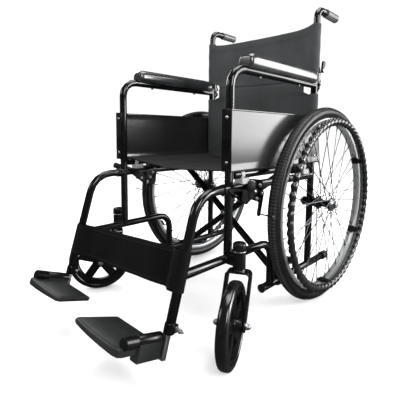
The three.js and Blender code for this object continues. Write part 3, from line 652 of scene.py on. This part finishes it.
def caster_wheel(side):
    centre = caster_frame(0, -CASTER_TRAIL, CASTER_R)
    axis = caster_frame(1, 0, 0) - caster_frame(0, 0, 0)
    bed = CASTER_R - 17.0
    half = [(10, bed + 0.3), (13.2, bed + 2.5), (14, bed + 6), (13.4, bed + 10), (11, bed + 14.2),
            (7.6, CASTER_R - 0.6), (4, CASTER_R - 0.1)]
    tyre = Shape().add(*turned(both_walls(half, CASTER_R), 96, centre, axis))
    tyre.fitted(side, "caster_tyre_round", CASTER_RUBBER, "caster_roller", "caster_rubber", 50,
                node="caster_tyre")
    trims = Shape()
    for way in (-1, 1):
        cone = [(24.2, 4.8), (24.2, 10), (22, 13.4), (14, 14.6), (8, 17), (7, 4.8)]
        trims.add(*turned([(way * along, r) for along, r in cone], 32, centre, axis))
    trims.fitted(side, "caster_hub_caps", GLOSS_PLASTIC, "caster_roller", "black_plastic")
    bolts = Shape()
    for way in (-1, 1):
        nut(bolts, centre + axis * way * 36.2, axis * way, 6.8, 6.0, 3.0)
    bolts.fitted(side, "caster_nuts", ZINC, "caster", "steel")


def caster_fork(side):
    """A flat bar bent into an upside-down U: a crown under the stem and two legs with round eyes."""
    reach, thick, top, corner, eye = 28.8, 5.6, 203.0, 9.0, 14.0
    lean_from = top - 12.0
    crown_z = top - thick / 2

    def along_y(z):
        return -2.0 - (CASTER_TRAIL - 2.0) * max(0.0, lean_from - z) / (lean_from - CASTER_R)

    slope = Vector((0, along_y(CASTER_R) - along_y(CASTER_R + 1), -1)).normalized()
    half_path = []
    for i in range(7):
        past = eye * cos(radians(90 * i / 6))
        width = sqrt(max(0.04, eye ** 2 - past ** 2))
        foot = Vector((-reach, -CASTER_TRAIL, CASTER_R)) + slope * past
        half_path.append((foot, Vector((-1, 0, 0)), width))
    for i in range(1, 9):
        z = CASTER_R + (crown_z - corner - CASTER_R) * i / 8
        waist = eye - 1.5 * sin(pi * i / 8)
        half_path.append((Vector((-reach, along_y(z), z)), Vector((-1, 0, 0)), waist))
    for i in range(1, 7):
        a = radians(180 - 90 * i / 6)
        x, z = -reach + corner + corner * cos(a), crown_z - corner + corner * sin(a)
        half_path.append((Vector((x, along_y(z), z)), Vector((cos(a), 0, sin(a))), 14.5))
    path = half_path + [
        (Vector((-c.x, c.y, c.z)), Vector((-n.x, 0, n.z)), w) for c, n, w in reversed(half_path)
    ]
    section = [(-1, -0.5), (-0.9, -1), (0.9, -1), (1, -0.5), (1, 0.5), (0.9, 1), (-0.9, 1), (-1, 0.5)]
    rings = []
    for i, (centre, out, width) in enumerate(path):
        along = path[min(i + 1, len(path) - 1)][0] - path[max(i - 1, 0)][0]
        wide = along.cross(out).normalized()
        rings.append([caster_frame(*(centre + wide * width * u + out * thick / 2 * v)) for u, v in section])
    fork = Shape().add(*loops(rings, False))
    fork.add(*pin(caster_frame(0, 0, top - 4), caster_frame(0, 0, 205.5), [(0, 12), (1, 12)], 30))
    fork.fitted(side, "fork_bar", PAINT, "caster", "frame_paint", 32, node="caster_fork")


def caster_housing(side):
    """Two bright rings at the ends of the stem's housing, and its domed cap."""
    x, y = STEM
    rings = Shape()
    for ring in ([(249.0, 9), (249.0, 16.2), (249.5, 16.6), (250.5, 16.6), (251, 16.2), (251, 9)],
                 [(204.2, 9), (204.2, 15), (206.3, 15), (206.3, 9)]):
        rings.add(*turned(ring, 40, (x, y, 0), (0, 0, 1)))
    rings.fitted(side, "caster_ring", ZINC, "side", "steel")
    dome = [(0, 16.2), (0.05, 16.8), (0.75, 16.2), (0.9, 14.4), (0.98, 10.5), (1, 5)]
    cap = Shape().add(*pin((x, y, 251.2), (x, y, 272), dome, 40))
    cap.fitted(side, "stem_cap", GLOSS_PLASTIC, "side", "black_plastic", node="caster_cap")


# ---------- armrests and side panels ----------


def round_over(share):
    """The height of a round shoulder: 0 at its foot and 1 from a share of 1 on."""
    return sqrt(1 - (1 - min(1.0, max(0.0, share))) ** 2)


def armrest(side):
    """A moulded pad: a crowned top, a lower roll that hugs the tube, and a blunt rounded nose."""
    front, back, high = -362.0, -26.0, 729.0
    nose_drop, tail_drop = 13.0, 6.0
    groove_r = TUBE + 0.5
    groove_top = ARM_Z + groove_r
    half_section = arc((0, ARM_Z), groove_r, 90, 12, 6)
    half_section += [(13.5, 688.0), (17.5, 689.4), (21.4, 693.6), (23.6, 699.0)]
    widest, shoulder = 24.2, 704.0
    for k in range(15):
        a = radians(90 * k / 14)
        crowned = shoulder + (high - shoulder) * sin(a) ** 0.75
        half_section.append((widest * max(0.0, cos(a)) ** 0.75, crowned))
    section = half_section + [(-u, z) for u, z in reversed(half_section[1:-1])]
    rings = []
    rows = 72
    for i in range(rows + 1):
        y = front + (back - front) * (0.5 - 0.5 * cos(pi * i / rows))
        nose, tail = y - front, back - y
        wide = (0.4 + 0.6 * round_over(nose / 20.0)) * (0.7 + 0.3 * round_over(tail / 7.0))
        top = high - nose_drop * (1 - round_over(nose / 24.0)) - tail_drop * (1 - round_over(tail / 40.0))
        ring = []
        for u, z in section:
            if z > groove_top:
                z = groove_top + (z - groove_top) / (high - groove_top) * (top - groove_top)
            if abs(u) > groove_r:
                u = copysign(groove_r + (abs(u) - groove_r) * wide, u)
            ring.append((FRAME_X + u, y, z))
        rings.append(ring)
    shape = Shape().add(*loops(rings, False))
    shape.fitted(side, "arm_cushion", VINYL, "side", "vinyl", 50, node="armrest_pad")
    screws = Shape()
    for y in (-300.0, -103.0):
        base = (FRAME_X, y, ARM_Z - TUBE - 1.0)
        screws.add(*pin((FRAME_X, y, ARM_Z - TUBE + 1), base, [(0, 5.4), (1, 4.8)], 20))
        screw_head(screws, base, (0, 0, -1), 3.8, 3.2)
    screws.fitted(side, "arm_screws", ZINC, "side", "steel")


def side_panel(side):
    """A glossy sheet with rolled upper and lower edges, screwed to a dark plate on the front post."""
    low, high, front, back, x = 438.0, 587.0, -427.0, 8.0, 243.6
    heights = [low + 4 + (high - low - 8) * i / 8 for i in range(9)]
    outer = [(x + 1.0, z) for z in heights]
    inner = [(x - 1.1, z) for z in reversed(heights)]
    lip = [(2.6, 2.4), (2.4, 0.6), (0.4, 0.0), (-1.6, 0.8), (-1.9, 3)]
    top = [(x + across, high - depth) for across, depth in lip]
    foot = [(x + across, low + depth) for across, depth in reversed(lip)]
    ring = outer + top + inner + foot
    rings = [[(u, y, z) for u, z in ring] for y in (front, front + 1, -300, -200, -100, back - 2, back - 0.5)]
    shape = Shape().add(*loops(rings, False))
    shape.fitted(side, "skirt_sheet", PANEL, "side", "panel", 45, node="side_panel")
    inside, outside = FRAME_X - 12, x + 3.4
    outline = [(inside, low), (outside, low), (outside, high), (inside, high)]
    plate = Shape().add(*slab(outline, -429.6, -427.2, lambda u, v, w: (u, w, v), 0.6))
    plate.fitted(side, "skirt_plate", PAINT, "side", "panel")
    screws = Shape()
    for z in (high - 20, low + 22):
        screw_head(screws, (FRAME_X + 4, -429.6, z), (0, -1, 0), 4.6, 2.8)
        screw_head(screws, (x + 1.2, -16, z), (1, 0, 0), 4.2, 2.4)
    screws.fitted(side, "skirt_screws", CHROME, "side", "steel")


# ---------- back, handles ----------


def handle_grip(side):
    """A slim rubber grip: a low front collar, finger hollows underneath and a domed end."""
    front, back, z = 50.0, 132.0, 921.0
    thick, collar, hollow_depth = 13.0, 0.9, 1.5
    steps, around, fingers = 72, 36, 5
    rings = []
    for i in range(steps + 1):
        share = i / steps
        radius = thick + collar * (share < 0.05)
        radius *= max(0.2, round_over((1 - share) / 0.1)) * max(0.9, round_over(share / 0.02))
        hollow = hollow_depth * cos(2 * pi * fingers * (share - 0.08)) * (0.1 < share < 0.92)
        ring = []
        for k in range(around):
            a = 2 * pi * k / around
            r = radius + hollow * max(0.0, -sin(a)) ** 1.5
            ring.append((FRAME_X + r * cos(a), front + (back - front) * share, z + r * sin(a)))
        rings.append(ring)
    shape = Shape().add(*loops(rings, False))
    shape.fitted(side, "push_grip", GRIP_RUBBER, "back", "rubber", 50, node="handle_grip")


def ripple(x, z, seed):
    """Deterministic small folds for a taut sling, in millimetres."""
    return (
        0.9 * sin(x * 0.031 + 1.3 * seed) * sin(z * 0.024 + seed)
        + 0.5 * sin(x * 0.083 + z * 0.021 + 2.1 * seed)
        + 0.3 * sin(x * 0.017 - z * 0.071 + seed)
    )


BACK_LOW, BACK_TOP, BACK_DIP, BACK_SPLIT = 424.0, 876.0, 14.0, 702.0
BACK_HALF = 226.0
NOTCH = {"low": 658.0, "high": 716.0, "left": 28.0, "right": 50.0}  # the right edge curls in further
SLEEVE_UPPER = (726.0, BACK_TOP - 1)
SLEEVE_LOWER = (455.0, 658.0)


def back_half(z, way):
    """Half the back's width at a height: cut in between the two sleeves."""
    low, high, depth = NOTCH["low"], NOTCH["high"], NOTCH["left" if way > 0 else "right"]
    rise = min(max((z - low + 5) / 10, 0), 1) * min(max((high + 5 - z) / 10, 0), 1)
    return BACK_HALF - depth * (rise * rise * (3 - 2 * rise))


def back_point(u, z):
    """A point of the back sling. u runs from -1 to 1 across it."""
    x = u * back_half(z, u)
    edge = 1 - u * u
    hollow = 15.0 * edge * (0.65 + 0.35 * sin(pi * (z - BACK_LOW) / (BACK_TOP - BACK_LOW)))
    pull = 1.2 * sin(z * 0.055) * edge * abs(u) ** 4
    folds = ripple(x, z, 1.0) * (0.35 + 0.65 * edge)
    return (x, REAR_POST_Y - 13.4 + hollow + pull + folds * edge ** 0.5, z)


def narrowing(cloth):
    """Gives a piece of cloth its own copy of its mesh."""
    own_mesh(cloth)


def seams(name, lines, body, slot):
    """Stitching along several lines of a piece of cloth."""
    sewn = Shape()
    for line in lines:
        stitches(sewn, line)
    narrowing(sewn.object(name + "_stitching", THREAD, body, slot))


def hemmed(width, hem, swell):
    """The thickness of cloth that is turned over along its two long edges."""
    def thick(u, v):
        near = min(v, 1 - v) * width
        return SLING * (swell if near < hem else 1.0) * (0.6 if near < 0.5 else 1.0)

    return thick


def part_sleeve(rows, start, end, steps, outer, place):
    """Cloth part of the way round a tube, from outer(row) in to the tube. place(r, angle, row) is a point."""
    angles = [radians(start + (end - start) * k / steps) for k in range(steps + 1)]
    rings = []
    for row in rows:
        skin = [place(outer(row), a, row) for a in angles]
        rings.append(skin + [place(COVER, a, row) for a in reversed(angles)])
    return Shape().add(*loops(rings, False))


def back_sling(name, low, high, dip, node, bodies, sleeve, hem_low, hem_high):
    """One sling panel between the canes, with hems, and a sewn sleeve round each cane."""
    tall = high - low

    def surface(u, v):
        across = 2 * u - 1
        top = high - dip * (1 - across ** 8)
        x, y, z = back_point(across, low + (top - low) * v)
        tucked = 0.0 if hem_high else 3.4 * min(1.0, max(0.0, (z - BACK_SPLIT + 6.0) / 5.0))
        return (x, y + tucked, z)

    def thick(u, v):
        height = tall * v
        hem = (hem_low and height < 24) or (hem_high and tall - height < 26)
        edges = [min(u, 1 - u) * 2 * BACK_HALF]
        if hem_low:
            edges.append(height)
        if hem_high:
            edges.append(tall - height)
        return SLING * (1.5 if hem else 1.0) * (0.6 if min(edges) < 0.5 else 1.0)

    shape = Shape().add(*sheet(surface, 72, max(12, int(tall / 6)), thick))
    panel = shape.object(name, BACK_CLOTH, bodies[0], "fabric", 1, 60)
    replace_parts(panel, node)
    narrowing(panel)

    side_seam = Vector((0, -SLING * 0.6, 0))
    hem_seam = Vector((0, -SLING * 0.85, 0))
    zs = np.linspace(*sleeve, 40)
    lines = [[Vector(back_point(u, z)) + side_seam for z in zs] for u in (-0.965, 0.965)]
    rows = ([(low + 20, 0)] if hem_low else []) + ([(high - 22, dip)] if hem_high else [])
    for z, drop in rows:
        us = np.linspace(-0.94, 0.94, 90)
        lines.append([Vector(back_point(u, z - drop * (1 - u ** 8))) + hem_seam for u in us])
    seams(name, lines, bodies[0], "fabric")

    rows, around = 46, 28
    turns = [2 * pi * k / around for k in range(around)]
    for side, body in zip(MIRROR, bodies):
        outer, inner = [], []
        for i in range(rows + 1):
            z = sleeve[0] + (sleeve[1] - sleeve[0]) * i / rows
            end = 0.5 if i in (0, rows) else 0.0
            ring = []
            for a in turns:
                r = COVER + SLING + 0.35 * sin(z * 0.11 + 2 * a) - end
                # the sleeve tightens into the panel on its inner side
                pull_in = max(0.0, -cos(a)) ** 3 * 2.0
                ring.append((FRAME_X + (r + pull_in) * cos(a), REAR_POST_Y + r * sin(a), z))
            outer.append(ring)
            inner.append([(x, y, z) for x, y in arc((FRAME_X, REAR_POST_Y), COVER, 0, 360, around)[:-1]])
        hollow = Shape().add(*loops(outer + inner[::-1], True))
        hollow.object(f"{name}_{side}_sleeve", BACK_CLOTH, body, "fabric", MIRROR[side], 60)


def seat():
    """The seat sling: a sagging panel between the rails, and a wrap over each rail."""
    low_y, high_y = FRONT_POST_Y + TUBE + 8, REAR_POST_Y - TUBE - 12
    deep = high_y - low_y
    top = SEAT_RAIL_Z + COVER + SLING / 2
    half = FRAME_X - 5.0

    def surface(u, v):
        across = 2 * u - 1
        x = across * half
        y = low_y + deep * v
        y += 5.0 * (1 - across * across) * (1 - v) ** 8
        sag = 20.0 * (1 - across * across) * (0.8 + 0.2 * sin(pi * v))
        return (x, y, top - sag + ripple(x, y, 2.0) * (1 - across ** 4))

    cloth = Shape().add(*sheet(surface, 80, 72, hemmed(deep, 24, 1.6)))
    panel = cloth.object("seat_panel", SEAT_CLOTH, "seat", "fabric", 1, 60)
    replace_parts(panel, "seat_sling")
    narrowing(panel)

    hem_seam = Vector((0, 0, SLING * 0.85))
    side_seam = Vector((0, 0, SLING * 0.6))
    across, along = np.linspace(0.02, 0.98, 90), np.linspace(0.01, 0.99, 80)
    lines = [[Vector(surface(u, v)) + hem_seam for u in across] for v in (22 / deep, 1 - 22 / deep)]
    lines += [[Vector(surface(u, v)) + side_seam for v in along] for u in (0.035, 0.965)]
    seams("seat_panel", lines, "seat", "fabric")

    def over_rail(r, a, y):
        return (FRAME_X + r * cos(a), y, SEAT_RAIL_Z + r * sin(a))

    stations = [low_y + deep * i / 40 for i in range(41)]
    wrap = part_sleeve(stations, 38, 150, 18, lambda y: COVER + SLING + 0.1 * sin(y * 0.2), over_rail)
    for side, body in zip(MIRROR, ("cross_rear", "cross_front")):
        wrap.object(f"seat_wrap_{side}", SEAT_CLOTH, body, "fabric", MIRROR[side], 50)


STRAP_SAG = 24.0


def calf_strap():
    """A doubled webbing band looped round both hangers, a little lower on the right."""
    low, high, slope = 78.0, 166.0, 0.06
    radius = COVER + SLING
    half = FRAME_X - 1.0
    tilt = Matrix.Rotation(-LEAN, 3, "X")

    def place(x, y, z):
        return Vector((0, *HANGER_FOOT)) + tilt @ Vector((x, y, z + slope * x))

    def band(way, name):
        def surface(u, v):
            across = 2 * u - 1
            x = across * half
            bow = 1 - across * across
            slack = 1.2 * sin(x * 0.05 + way) * (1 - across ** 4) - 3.0 * bow * way
            # the band hangs back between the hangers, clear of a footplate that is flipped up
            share = min(1.0, max(0.0, (half * (1 - abs(across)) - 14.0) / 44.0))
            slack += STRAP_SAG * share * share * (3 - 2 * share)
            z = low + (high - low) * v - 3.0 * bow
            return place(x, way * (radius - SLING / 2) + slack + 0.5 * sin(x * 0.04 + v * 2), z)

        cloth = Shape().add(*sheet(surface, 90, 22, hemmed(high - low, 9, 1.5)))
        panel = cloth.object(name, STRAP_CLOTH, "left_side", "strap", 1, 60)
        narrowing(panel)
        outward = tilt @ Vector((0, way * SLING * 0.8, 0))
        us = np.linspace(0.02, 0.98, 90)
        lines = [[Vector(surface(u, v)) + outward for u in us] for v in (0.09, 0.91)]
        seams(name, lines, "left_side", "strap")
        return panel

    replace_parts(band(-1, "calf_band_front"), "calf_strap")
    band(1, "calf_band_back")
    for side, mirror in MIRROR.items():
        drop = slope * FRAME_X * mirror

        def round_hanger(r, a, z, drop=drop):
            local = tilt @ Vector((0, r * sin(a), z + drop))
            return (FRAME_X + r * cos(a), HANGER_FOOT[0] + local.y, HANGER_FOOT[1] + local.z)

        stations = [low + (high - low) * i / 12 for i in range(13)]
        loop = part_sleeve(stations, -96, 96, 16, lambda z: radius, round_hanger)
        loop.object(f"calf_loop_{side}", STRAP_CLOTH, f"{side}_side", "strap", mirror, 50)


# ---------- small hardware ----------


def hanger_point(x, y, z, pitch=0.0):
    """A point given from the foot of the hanger, with Z up along the hanger, tipped on by pitch."""
    tipped = Matrix.Rotation(-LEAN - pitch, 3, "X") @ Vector((0, y, z))
    return Vector((x, HANGER_FOOT[0] + tipped.y, HANGER_FOOT[1] + tipped.z))


def frame_hardware(side):
    """The hanger's collar and catch, the seat rail's cradles, the foot clamp and the brake's inner plate."""
    dark = Shape()
    bright = Shape()
    pale = Shape()
    collar_y = FRONT_POST_Y - 20.0
    dark.add(*pin((FRAME_X, collar_y - 6, SIDE_RAIL_Z), (FRAME_X, collar_y + 7, SIDE_RAIL_Z),
                  [(0, 12.4), (0.12, 14), (0.88, 14), (1, 12.4)], 30))
    knob_x = FRAME_X + 16.0
    dark.add(*pin((knob_x - 1, collar_y + 2, SIDE_RAIL_Z), (knob_x, -408.0, 380.0), [(0, 1.6), (1, 1.6)], 10))
    dark.add(*pin((knob_x, -412.0, 382.6), (knob_x, -403.4, 377.0),
                  [(0, 2.5), (0.2, 4.4), (0.5, 5.4), (0.8, 4.4), (1, 2)], 16))
    for y, reach in zip(SADDLE_Y, (15, 18)):
        pale.add(*slab([(-13, 9.5), (13, 9.5), (12, 24), (-12, 24)], -reach, reach,
                       lambda u, v, w, y=y: (FRAME_X + u, y + w, SIDE_RAIL_Z + v), 1.2))
        pale.add(*turned([(-6, TUBE + 0.4), (-6, TUBE + 2.2), (6, TUBE + 2.2), (6, TUBE + 0.4)], 28,
                         (FRAME_X, y - 11, SEAT_RAIL_Z), (0, 1, 0)))
    dark.add(*pin(hanger_point(FRAME_X, 0, 5), hanger_point(FRAME_X, 0, 27),
                  [(0, 12.0), (0.06, 12.6), (0.94, 12.6), (1, 11.4)], 30))
    dark.add(*slab([(-7, 6), (7, 6), (7, 24), (-7, 24)], 8, 19,
                   lambda u, v, w: hanger_point(FRAME_X + u, w, v), 2.0))
    clamp_bolt = hanger_point(FRAME_X, 14, 14)
    for reach, radius in ((7.2, 5.0), (18.0, 4.6)):
        nut(bright, clamp_bolt + Vector((reach, 0, 0)), (1, 0, 0), radius, 4.6, 6.0)
    screw_head(bright, clamp_bolt - Vector((7.2, 0, 0)), (-1, 0, 0), 4.6, 3.0)
    plate = [(-394, 404), (-394, 386), (-352, 354), (-322, 340), (-300, 352), (-297, 404)]
    dark.add(*slab(rounded(plate, 5.0), FRAME_X - 18.4, FRAME_X - 15.4, in_x, 0.6))
    for y, z in ((-360, 373), (-324, 373), (-336, 357), (-315, 388)):
        nut(bright, (FRAME_X - 18.6, y, z), (-1, 0, 0), 4.2, 2.6, 1.4)
    washer = [(-24.5, 7), (-24.5, 15.2), (-22.8, 15.2), (-22.8, 7)]
    bright.add(*turned(washer, 30, (FRAME_X, 0, WHEEL_R)))
    dark.fitted(side, "frame_fittings", PAINT, "side", "frame_paint")
    bright.fitted(side, "frame_bolts", ZINC, "side", "steel")
    pale.fitted(side, "seat_cradles", NYLON, "side", "black_plastic")


def back_hardware(side):
    """The hinge rivet, the latch's knob and screw, and the leaf spring behind it."""
    hinge_y, hinge_z, hinge_half = 18, 690, 9.2
    knob_in, knob_out = FRAME_X + 8.2, FRAME_X + 15.6
    bright = Shape()
    nut(bright, (FRAME_X + hinge_half, hinge_y, hinge_z), (1, 0, 0), 5.4, 3.4, 1.5)
    screw_head(bright, (FRAME_X - hinge_half, hinge_y, hinge_z), (-1, 0, 0), 5.2, 2.6)
    bright.fitted(side, "hinge_rivet", ZINC, "side", "steel")
    outline = arc((29, 757), 8.2, -35, 180, 14) + [(18, 739), (17, 727), (27, 727), (28, 738)]
    knob = Shape().add(*slab(outline, knob_in, knob_out, in_x, 2.2, 3))
    knob.fitted(side, "latch_knob", PLASTIC, "catch", "black_plastic", node="back_latch")
    screw = Shape()
    screw_head(screw, (knob_out, 22, 733), (1, 0, 0), 4.4, 2.4)
    screw.fitted(side, "latch_screw", ZINC, "catch", "steel")
    leaf = [(8, 706), (12, 698), (18, 702), (24, 725), (18, 730), (14, 744), (8, 744)]
    spring = Shape().add(*slab(leaf, FRAME_X + 7.0, FRAME_X + 7.9, in_x, 0.2, 1))
    spring.fitted(side, "latch_spring", PAINT, "back", "frame_paint")


def brake_hardware(side):
    """The black shoe arm with a bright ring on its bar, the bracket's bolts, the lever's rivets and grip."""
    y, z, x = -335.0, 382.0, 244.0
    shoe = (-WHEEL_R - 11, WHEEL_R + 14)
    root = (y + 28, z - 8)
    arm = Shape()
    along = (Vector(shoe) - Vector(root)).normalized()
    lean = degrees(atan2(along.y, along.x))
    outline = arc(root, 8.5, lean + 90, lean + 270, 8) + arc(shoe, 6.5, lean - 90, lean + 90, 8)
    arm.add(*slab(outline, x + 3.3, x + 8.0, in_x, 1.0))
    bar = Shape()
    arm.add(*pin((x + 3.5, *shoe), (WHEEL_X + 23, *shoe), [(0, 2.0), (0.96, 2.0), (1, 1.4)], 14))
    bar.add(*pin((WHEEL_X + 17, *shoe), (WHEEL_X + 20, *shoe), [(0, 3.0), (1, 3.0)], 14))
    arm.fitted(side, "shoe_arm", PAINT, "brake_arm", "frame_paint", node="brake_shoe")
    screw_head(bar, (x + 8.0, *root), (1, 0, 0), 4.6, 2.6)
    bar.fitted(side, "shoe_bar", ZINC, "brake_arm", "steel")
    bolts = Shape()
    for dy, dz in ((24, 14), (10, -20)):
        nut(bolts, (x + 3.2, y + dy, z + dz), (1, 0, 0), 4.4, 3.2, 1.8)
    bolts.fitted(side, "brake_bolts", ZINC, "side", "steel")
    lever = Shape()
    for dy, dz, radius in ((0, 0, 4.6), (-20, 9, 3.6)):
        screw_head(lever, (x + 6.4, y + dy, z + dz), (1, 0, 0), radius, 2.4)
    lever.fitted(side, "brake_pivot", ZINC, "brake_handle", "steel")
    foot, tip = Vector((x + 12.3, y - 26, z + 11)), Vector((294, -411, 413))
    profile = [(0, 7.4), (0.04, 9.3), (0.12, 9.7), (0.35, 8.9),
               (0.75, 9.3), (0.9, 9.8), (0.97, 7.8), (1, 3.5)]
    grip = Shape().add(*pin(foot.lerp(tip, 0.22), foot.lerp(tip, 1.03), profile, 26))
    grip.fitted(side, "brake_grip", RUBBER, "brake_handle", "black_plastic")


def footrest_hardware(side):
    """The footplate: a tread with a raised panel, the hinge block under it, and the barrels on its pin."""
    hinge_x, hinge_z, hinge_r = 217.0, -6.0, 12.5

    def place(x, y, z):
        return hanger_point(x, y, z, PLATE_PITCH[side])

    def skirted(x, y, z):
        """The plate grows deeper from its inner edge to its hinge."""
        return place(x, y, z - (7.0 * (x - 45.0) / 177.0 if z < -19 else 0.0))

    def front_edge(inset):
        xs = np.linspace(60 + inset, 204 - inset, 9)
        return [(x, -115.5 + inset - 4.5 * (1 - ((x - 133) / 85) ** 2)) for x in xs]

    def outline(inset):
        corners = [(204, -17 - inset), (67 + inset, -17 - inset)]
        corners += [(44.5 + inset, -106), (49 + inset, -114 + inset)]
        corners += front_edge(inset)
        corners += [(218 - inset, -112 + inset), (222 - inset, -102), (222 - inset, -69), (204, -69)]
        return corners

    plate = Shape()
    plate.add(*slab(outline(0.0), -24, -14, skirted, 3.0, 4))
    plate.add(*slab(outline(7.0), -16, -13.2, place, 0.9, 2))
    block = rounded([(hinge_x - hinge_r, -46), (hinge_x + hinge_r, -46), (hinge_x + hinge_r, hinge_z),
                     (hinge_x - hinge_r, hinge_z)], [2.5, 2.5, 0, 0], 3)
    plate.add(*slab(block, -70, -11.6, lambda u, v, w: place(u, w, v), 1.2))
    plate.fitted(side, "tread_plate", FOOTPLATE_PLASTIC, "tread", "black_plastic", 35, node="footplate")
    barrel = Shape()
    barrel.add(*pin(place(hinge_x, -11.6, hinge_z), place(hinge_x, -70.4, hinge_z),
                    [(0, 12.0), (0.01, 12.7), (0.98, 12.7), (1, 11.9)], 40))
    barrel.add(*pin(place(hinge_x, -69, hinge_z), place(hinge_x, -75, hinge_z), [(0, 10.6), (1, 10.6)], 32))
    barrel.add(*pin(place(hinge_x, -73.6, hinge_z), place(hinge_x, -103.8, hinge_z),
                    [(0, 12.0), (0.03, 12.9), (0.93, 12.9), (1, 11.2)], 40))
    barrel.fitted(side, "hinge_barrel", GLOSS_PLASTIC, "tread", "black_plastic", 35)


# ---------- floor, light and camera ----------


def stage():
    floor_look = Look("floor_pale", (0.9, 0.9, 0.9), 0.6, specular=0.2)
    # the floor is bright to the eye and dim to reflections, so that black tubes stay black underneath
    pale = floor_look.between(floor_look.noise(2, 3), 0.9, 0.93)
    mirrored = floor_look.node("ShaderNodeLightPath", "Is Glossy Ray")
    shade = floor_look.minus(pale, floor_look.times(mirrored, 0.885))
    floor_look.fill(floor_look.bsdf, {"Base Color": shade})
    mesh = bpy.data.meshes.new("floor")
    size = 30.0
    corners = [(-size, -size, 0), (size, -size, 0), (size, size, 0), (-size, size, 0)]
    mesh.from_pydata(corners, [], [(0, 1, 2, 3)])
    mesh.materials.append(floor_look.material)
    floor = bpy.data.objects.new("floor", mesh)
    bpy.context.scene.collection.objects.link(floor)


def area_light(name, place, aim, size, power):
    light = bpy.data.lights.new(name, "AREA")
    light.shape = "RECTANGLE"
    light.size, light.size_y = size
    light.energy = power
    obj = bpy.data.objects.new(name, light)
    obj.location = place
    obj.rotation_mode = "QUATERNION"
    obj.rotation_quaternion = (Vector(aim) - Vector(place)).to_track_quat("-Z", "Y")
    bpy.context.scene.collection.objects.link(obj)


def lights():
    area_light("key_right_rear", (3.1, 2.6, 1.5), (0, 0, 0.5), (3.4, 2.6), 190)
    area_light("window_right", (2.55, 1.55, 1.25), (0.24, -0.1, 0.5), (0.5, 0.75), 22)
    area_light("right", (2.9, -0.9, 2.2), (0, 0, 0.45), (0.9, 1.6), 46)
    area_light("top", (0.2, 0.3, 3.4), (0, 0, 0.4), (2.2, 2.2), 70)
    area_light("front_left", (-2.0, -3.0, 2.4), (0, 0, 0.4), (1.2, 1.2), 26)
    area_light("left", (-3.0, 0.6, 2.0), (0, 0, 0.4), (1.4, 1.4), 36)
    world = bpy.data.worlds.new("studio")
    world.use_nodes = True
    studio = Nodes(world.node_tree)
    # the camera sees a white backdrop, glossy surfaces see a dim room, and the floor is lit evenly
    strength = 0.0
    for output, value in (("Is Diffuse Ray", 1.35), ("Is Camera Ray", 1.05), ("Is Glossy Ray", 0.1)):
        ray = studio.node("ShaderNodeLightPath", output)
        terms = {0: ray, 1: value, 2: strength}
        strength = studio.node("ShaderNodeMath", "Value", terms, operation="MULTIPLY_ADD")
    backdrop = world.node_tree.nodes["Background"]
    studio.fill(backdrop, {"Strength": strength, "Color": (1, 1, 1, 1)})
    bpy.context.scene.world = world
    bpy.context.scene.view_settings.view_transform = "Standard"


CAMERA = {
    "place": (784.3, -1053.0, 538.3), "yaw": 41.3, "pitch": 6.0, "roll": 1.0,
    "lens": 30.53, "shift": (-0.0471, -0.0988),
}


def camera():
    data = bpy.data.cameras.new("camera")
    data.lens = CAMERA["lens"]
    data.sensor_width = 36.0
    data.shift_x, data.shift_y = CAMERA["shift"]
    obj = bpy.data.objects.new("camera", data)
    bpy.context.scene.collection.objects.link(obj)
    yaw, pitch, roll = (radians(CAMERA[k]) for k in ("yaw", "pitch", "roll"))
    forward = Vector((-sin(yaw) * cos(pitch), cos(yaw) * cos(pitch), -sin(pitch)))
    right = forward.cross(Vector((0, 0, 1))).normalized()
    up = right.cross(forward)
    tilted = right * cos(roll) + up * sin(roll)
    basis = Matrix((tilted, tilted.cross(forward), -forward)).transposed().to_4x4()
    basis.translation = at(*CAMERA["place"])
    obj.matrix_world = basis
    bpy.context.scene.camera = obj


# ---------- the chair ----------

carried_nodes()
for side in MIRROR:
    for build in (rear_tyre, wheel_metal, handrim, caster_wheel, caster_fork, caster_housing, armrest,
                  side_panel, handle_grip, frame_hardware, back_hardware, brake_hardware,
                  footrest_hardware):
        build(side)
back_sling("back_panel_upper", BACK_SPLIT + 0.2, BACK_TOP, BACK_DIP, "back_sling_upper",
           ("left_back", "right_back"), SLEEVE_UPPER, False, True)
back_sling("back_panel_lower", BACK_LOW, BACK_SPLIT + 4.0, 0.0, "back_sling_lower",
           ("left_side", "right_side"), SLEEVE_LOWER, True, False)
seat()
calf_strap()
stage()
lights()
camera()
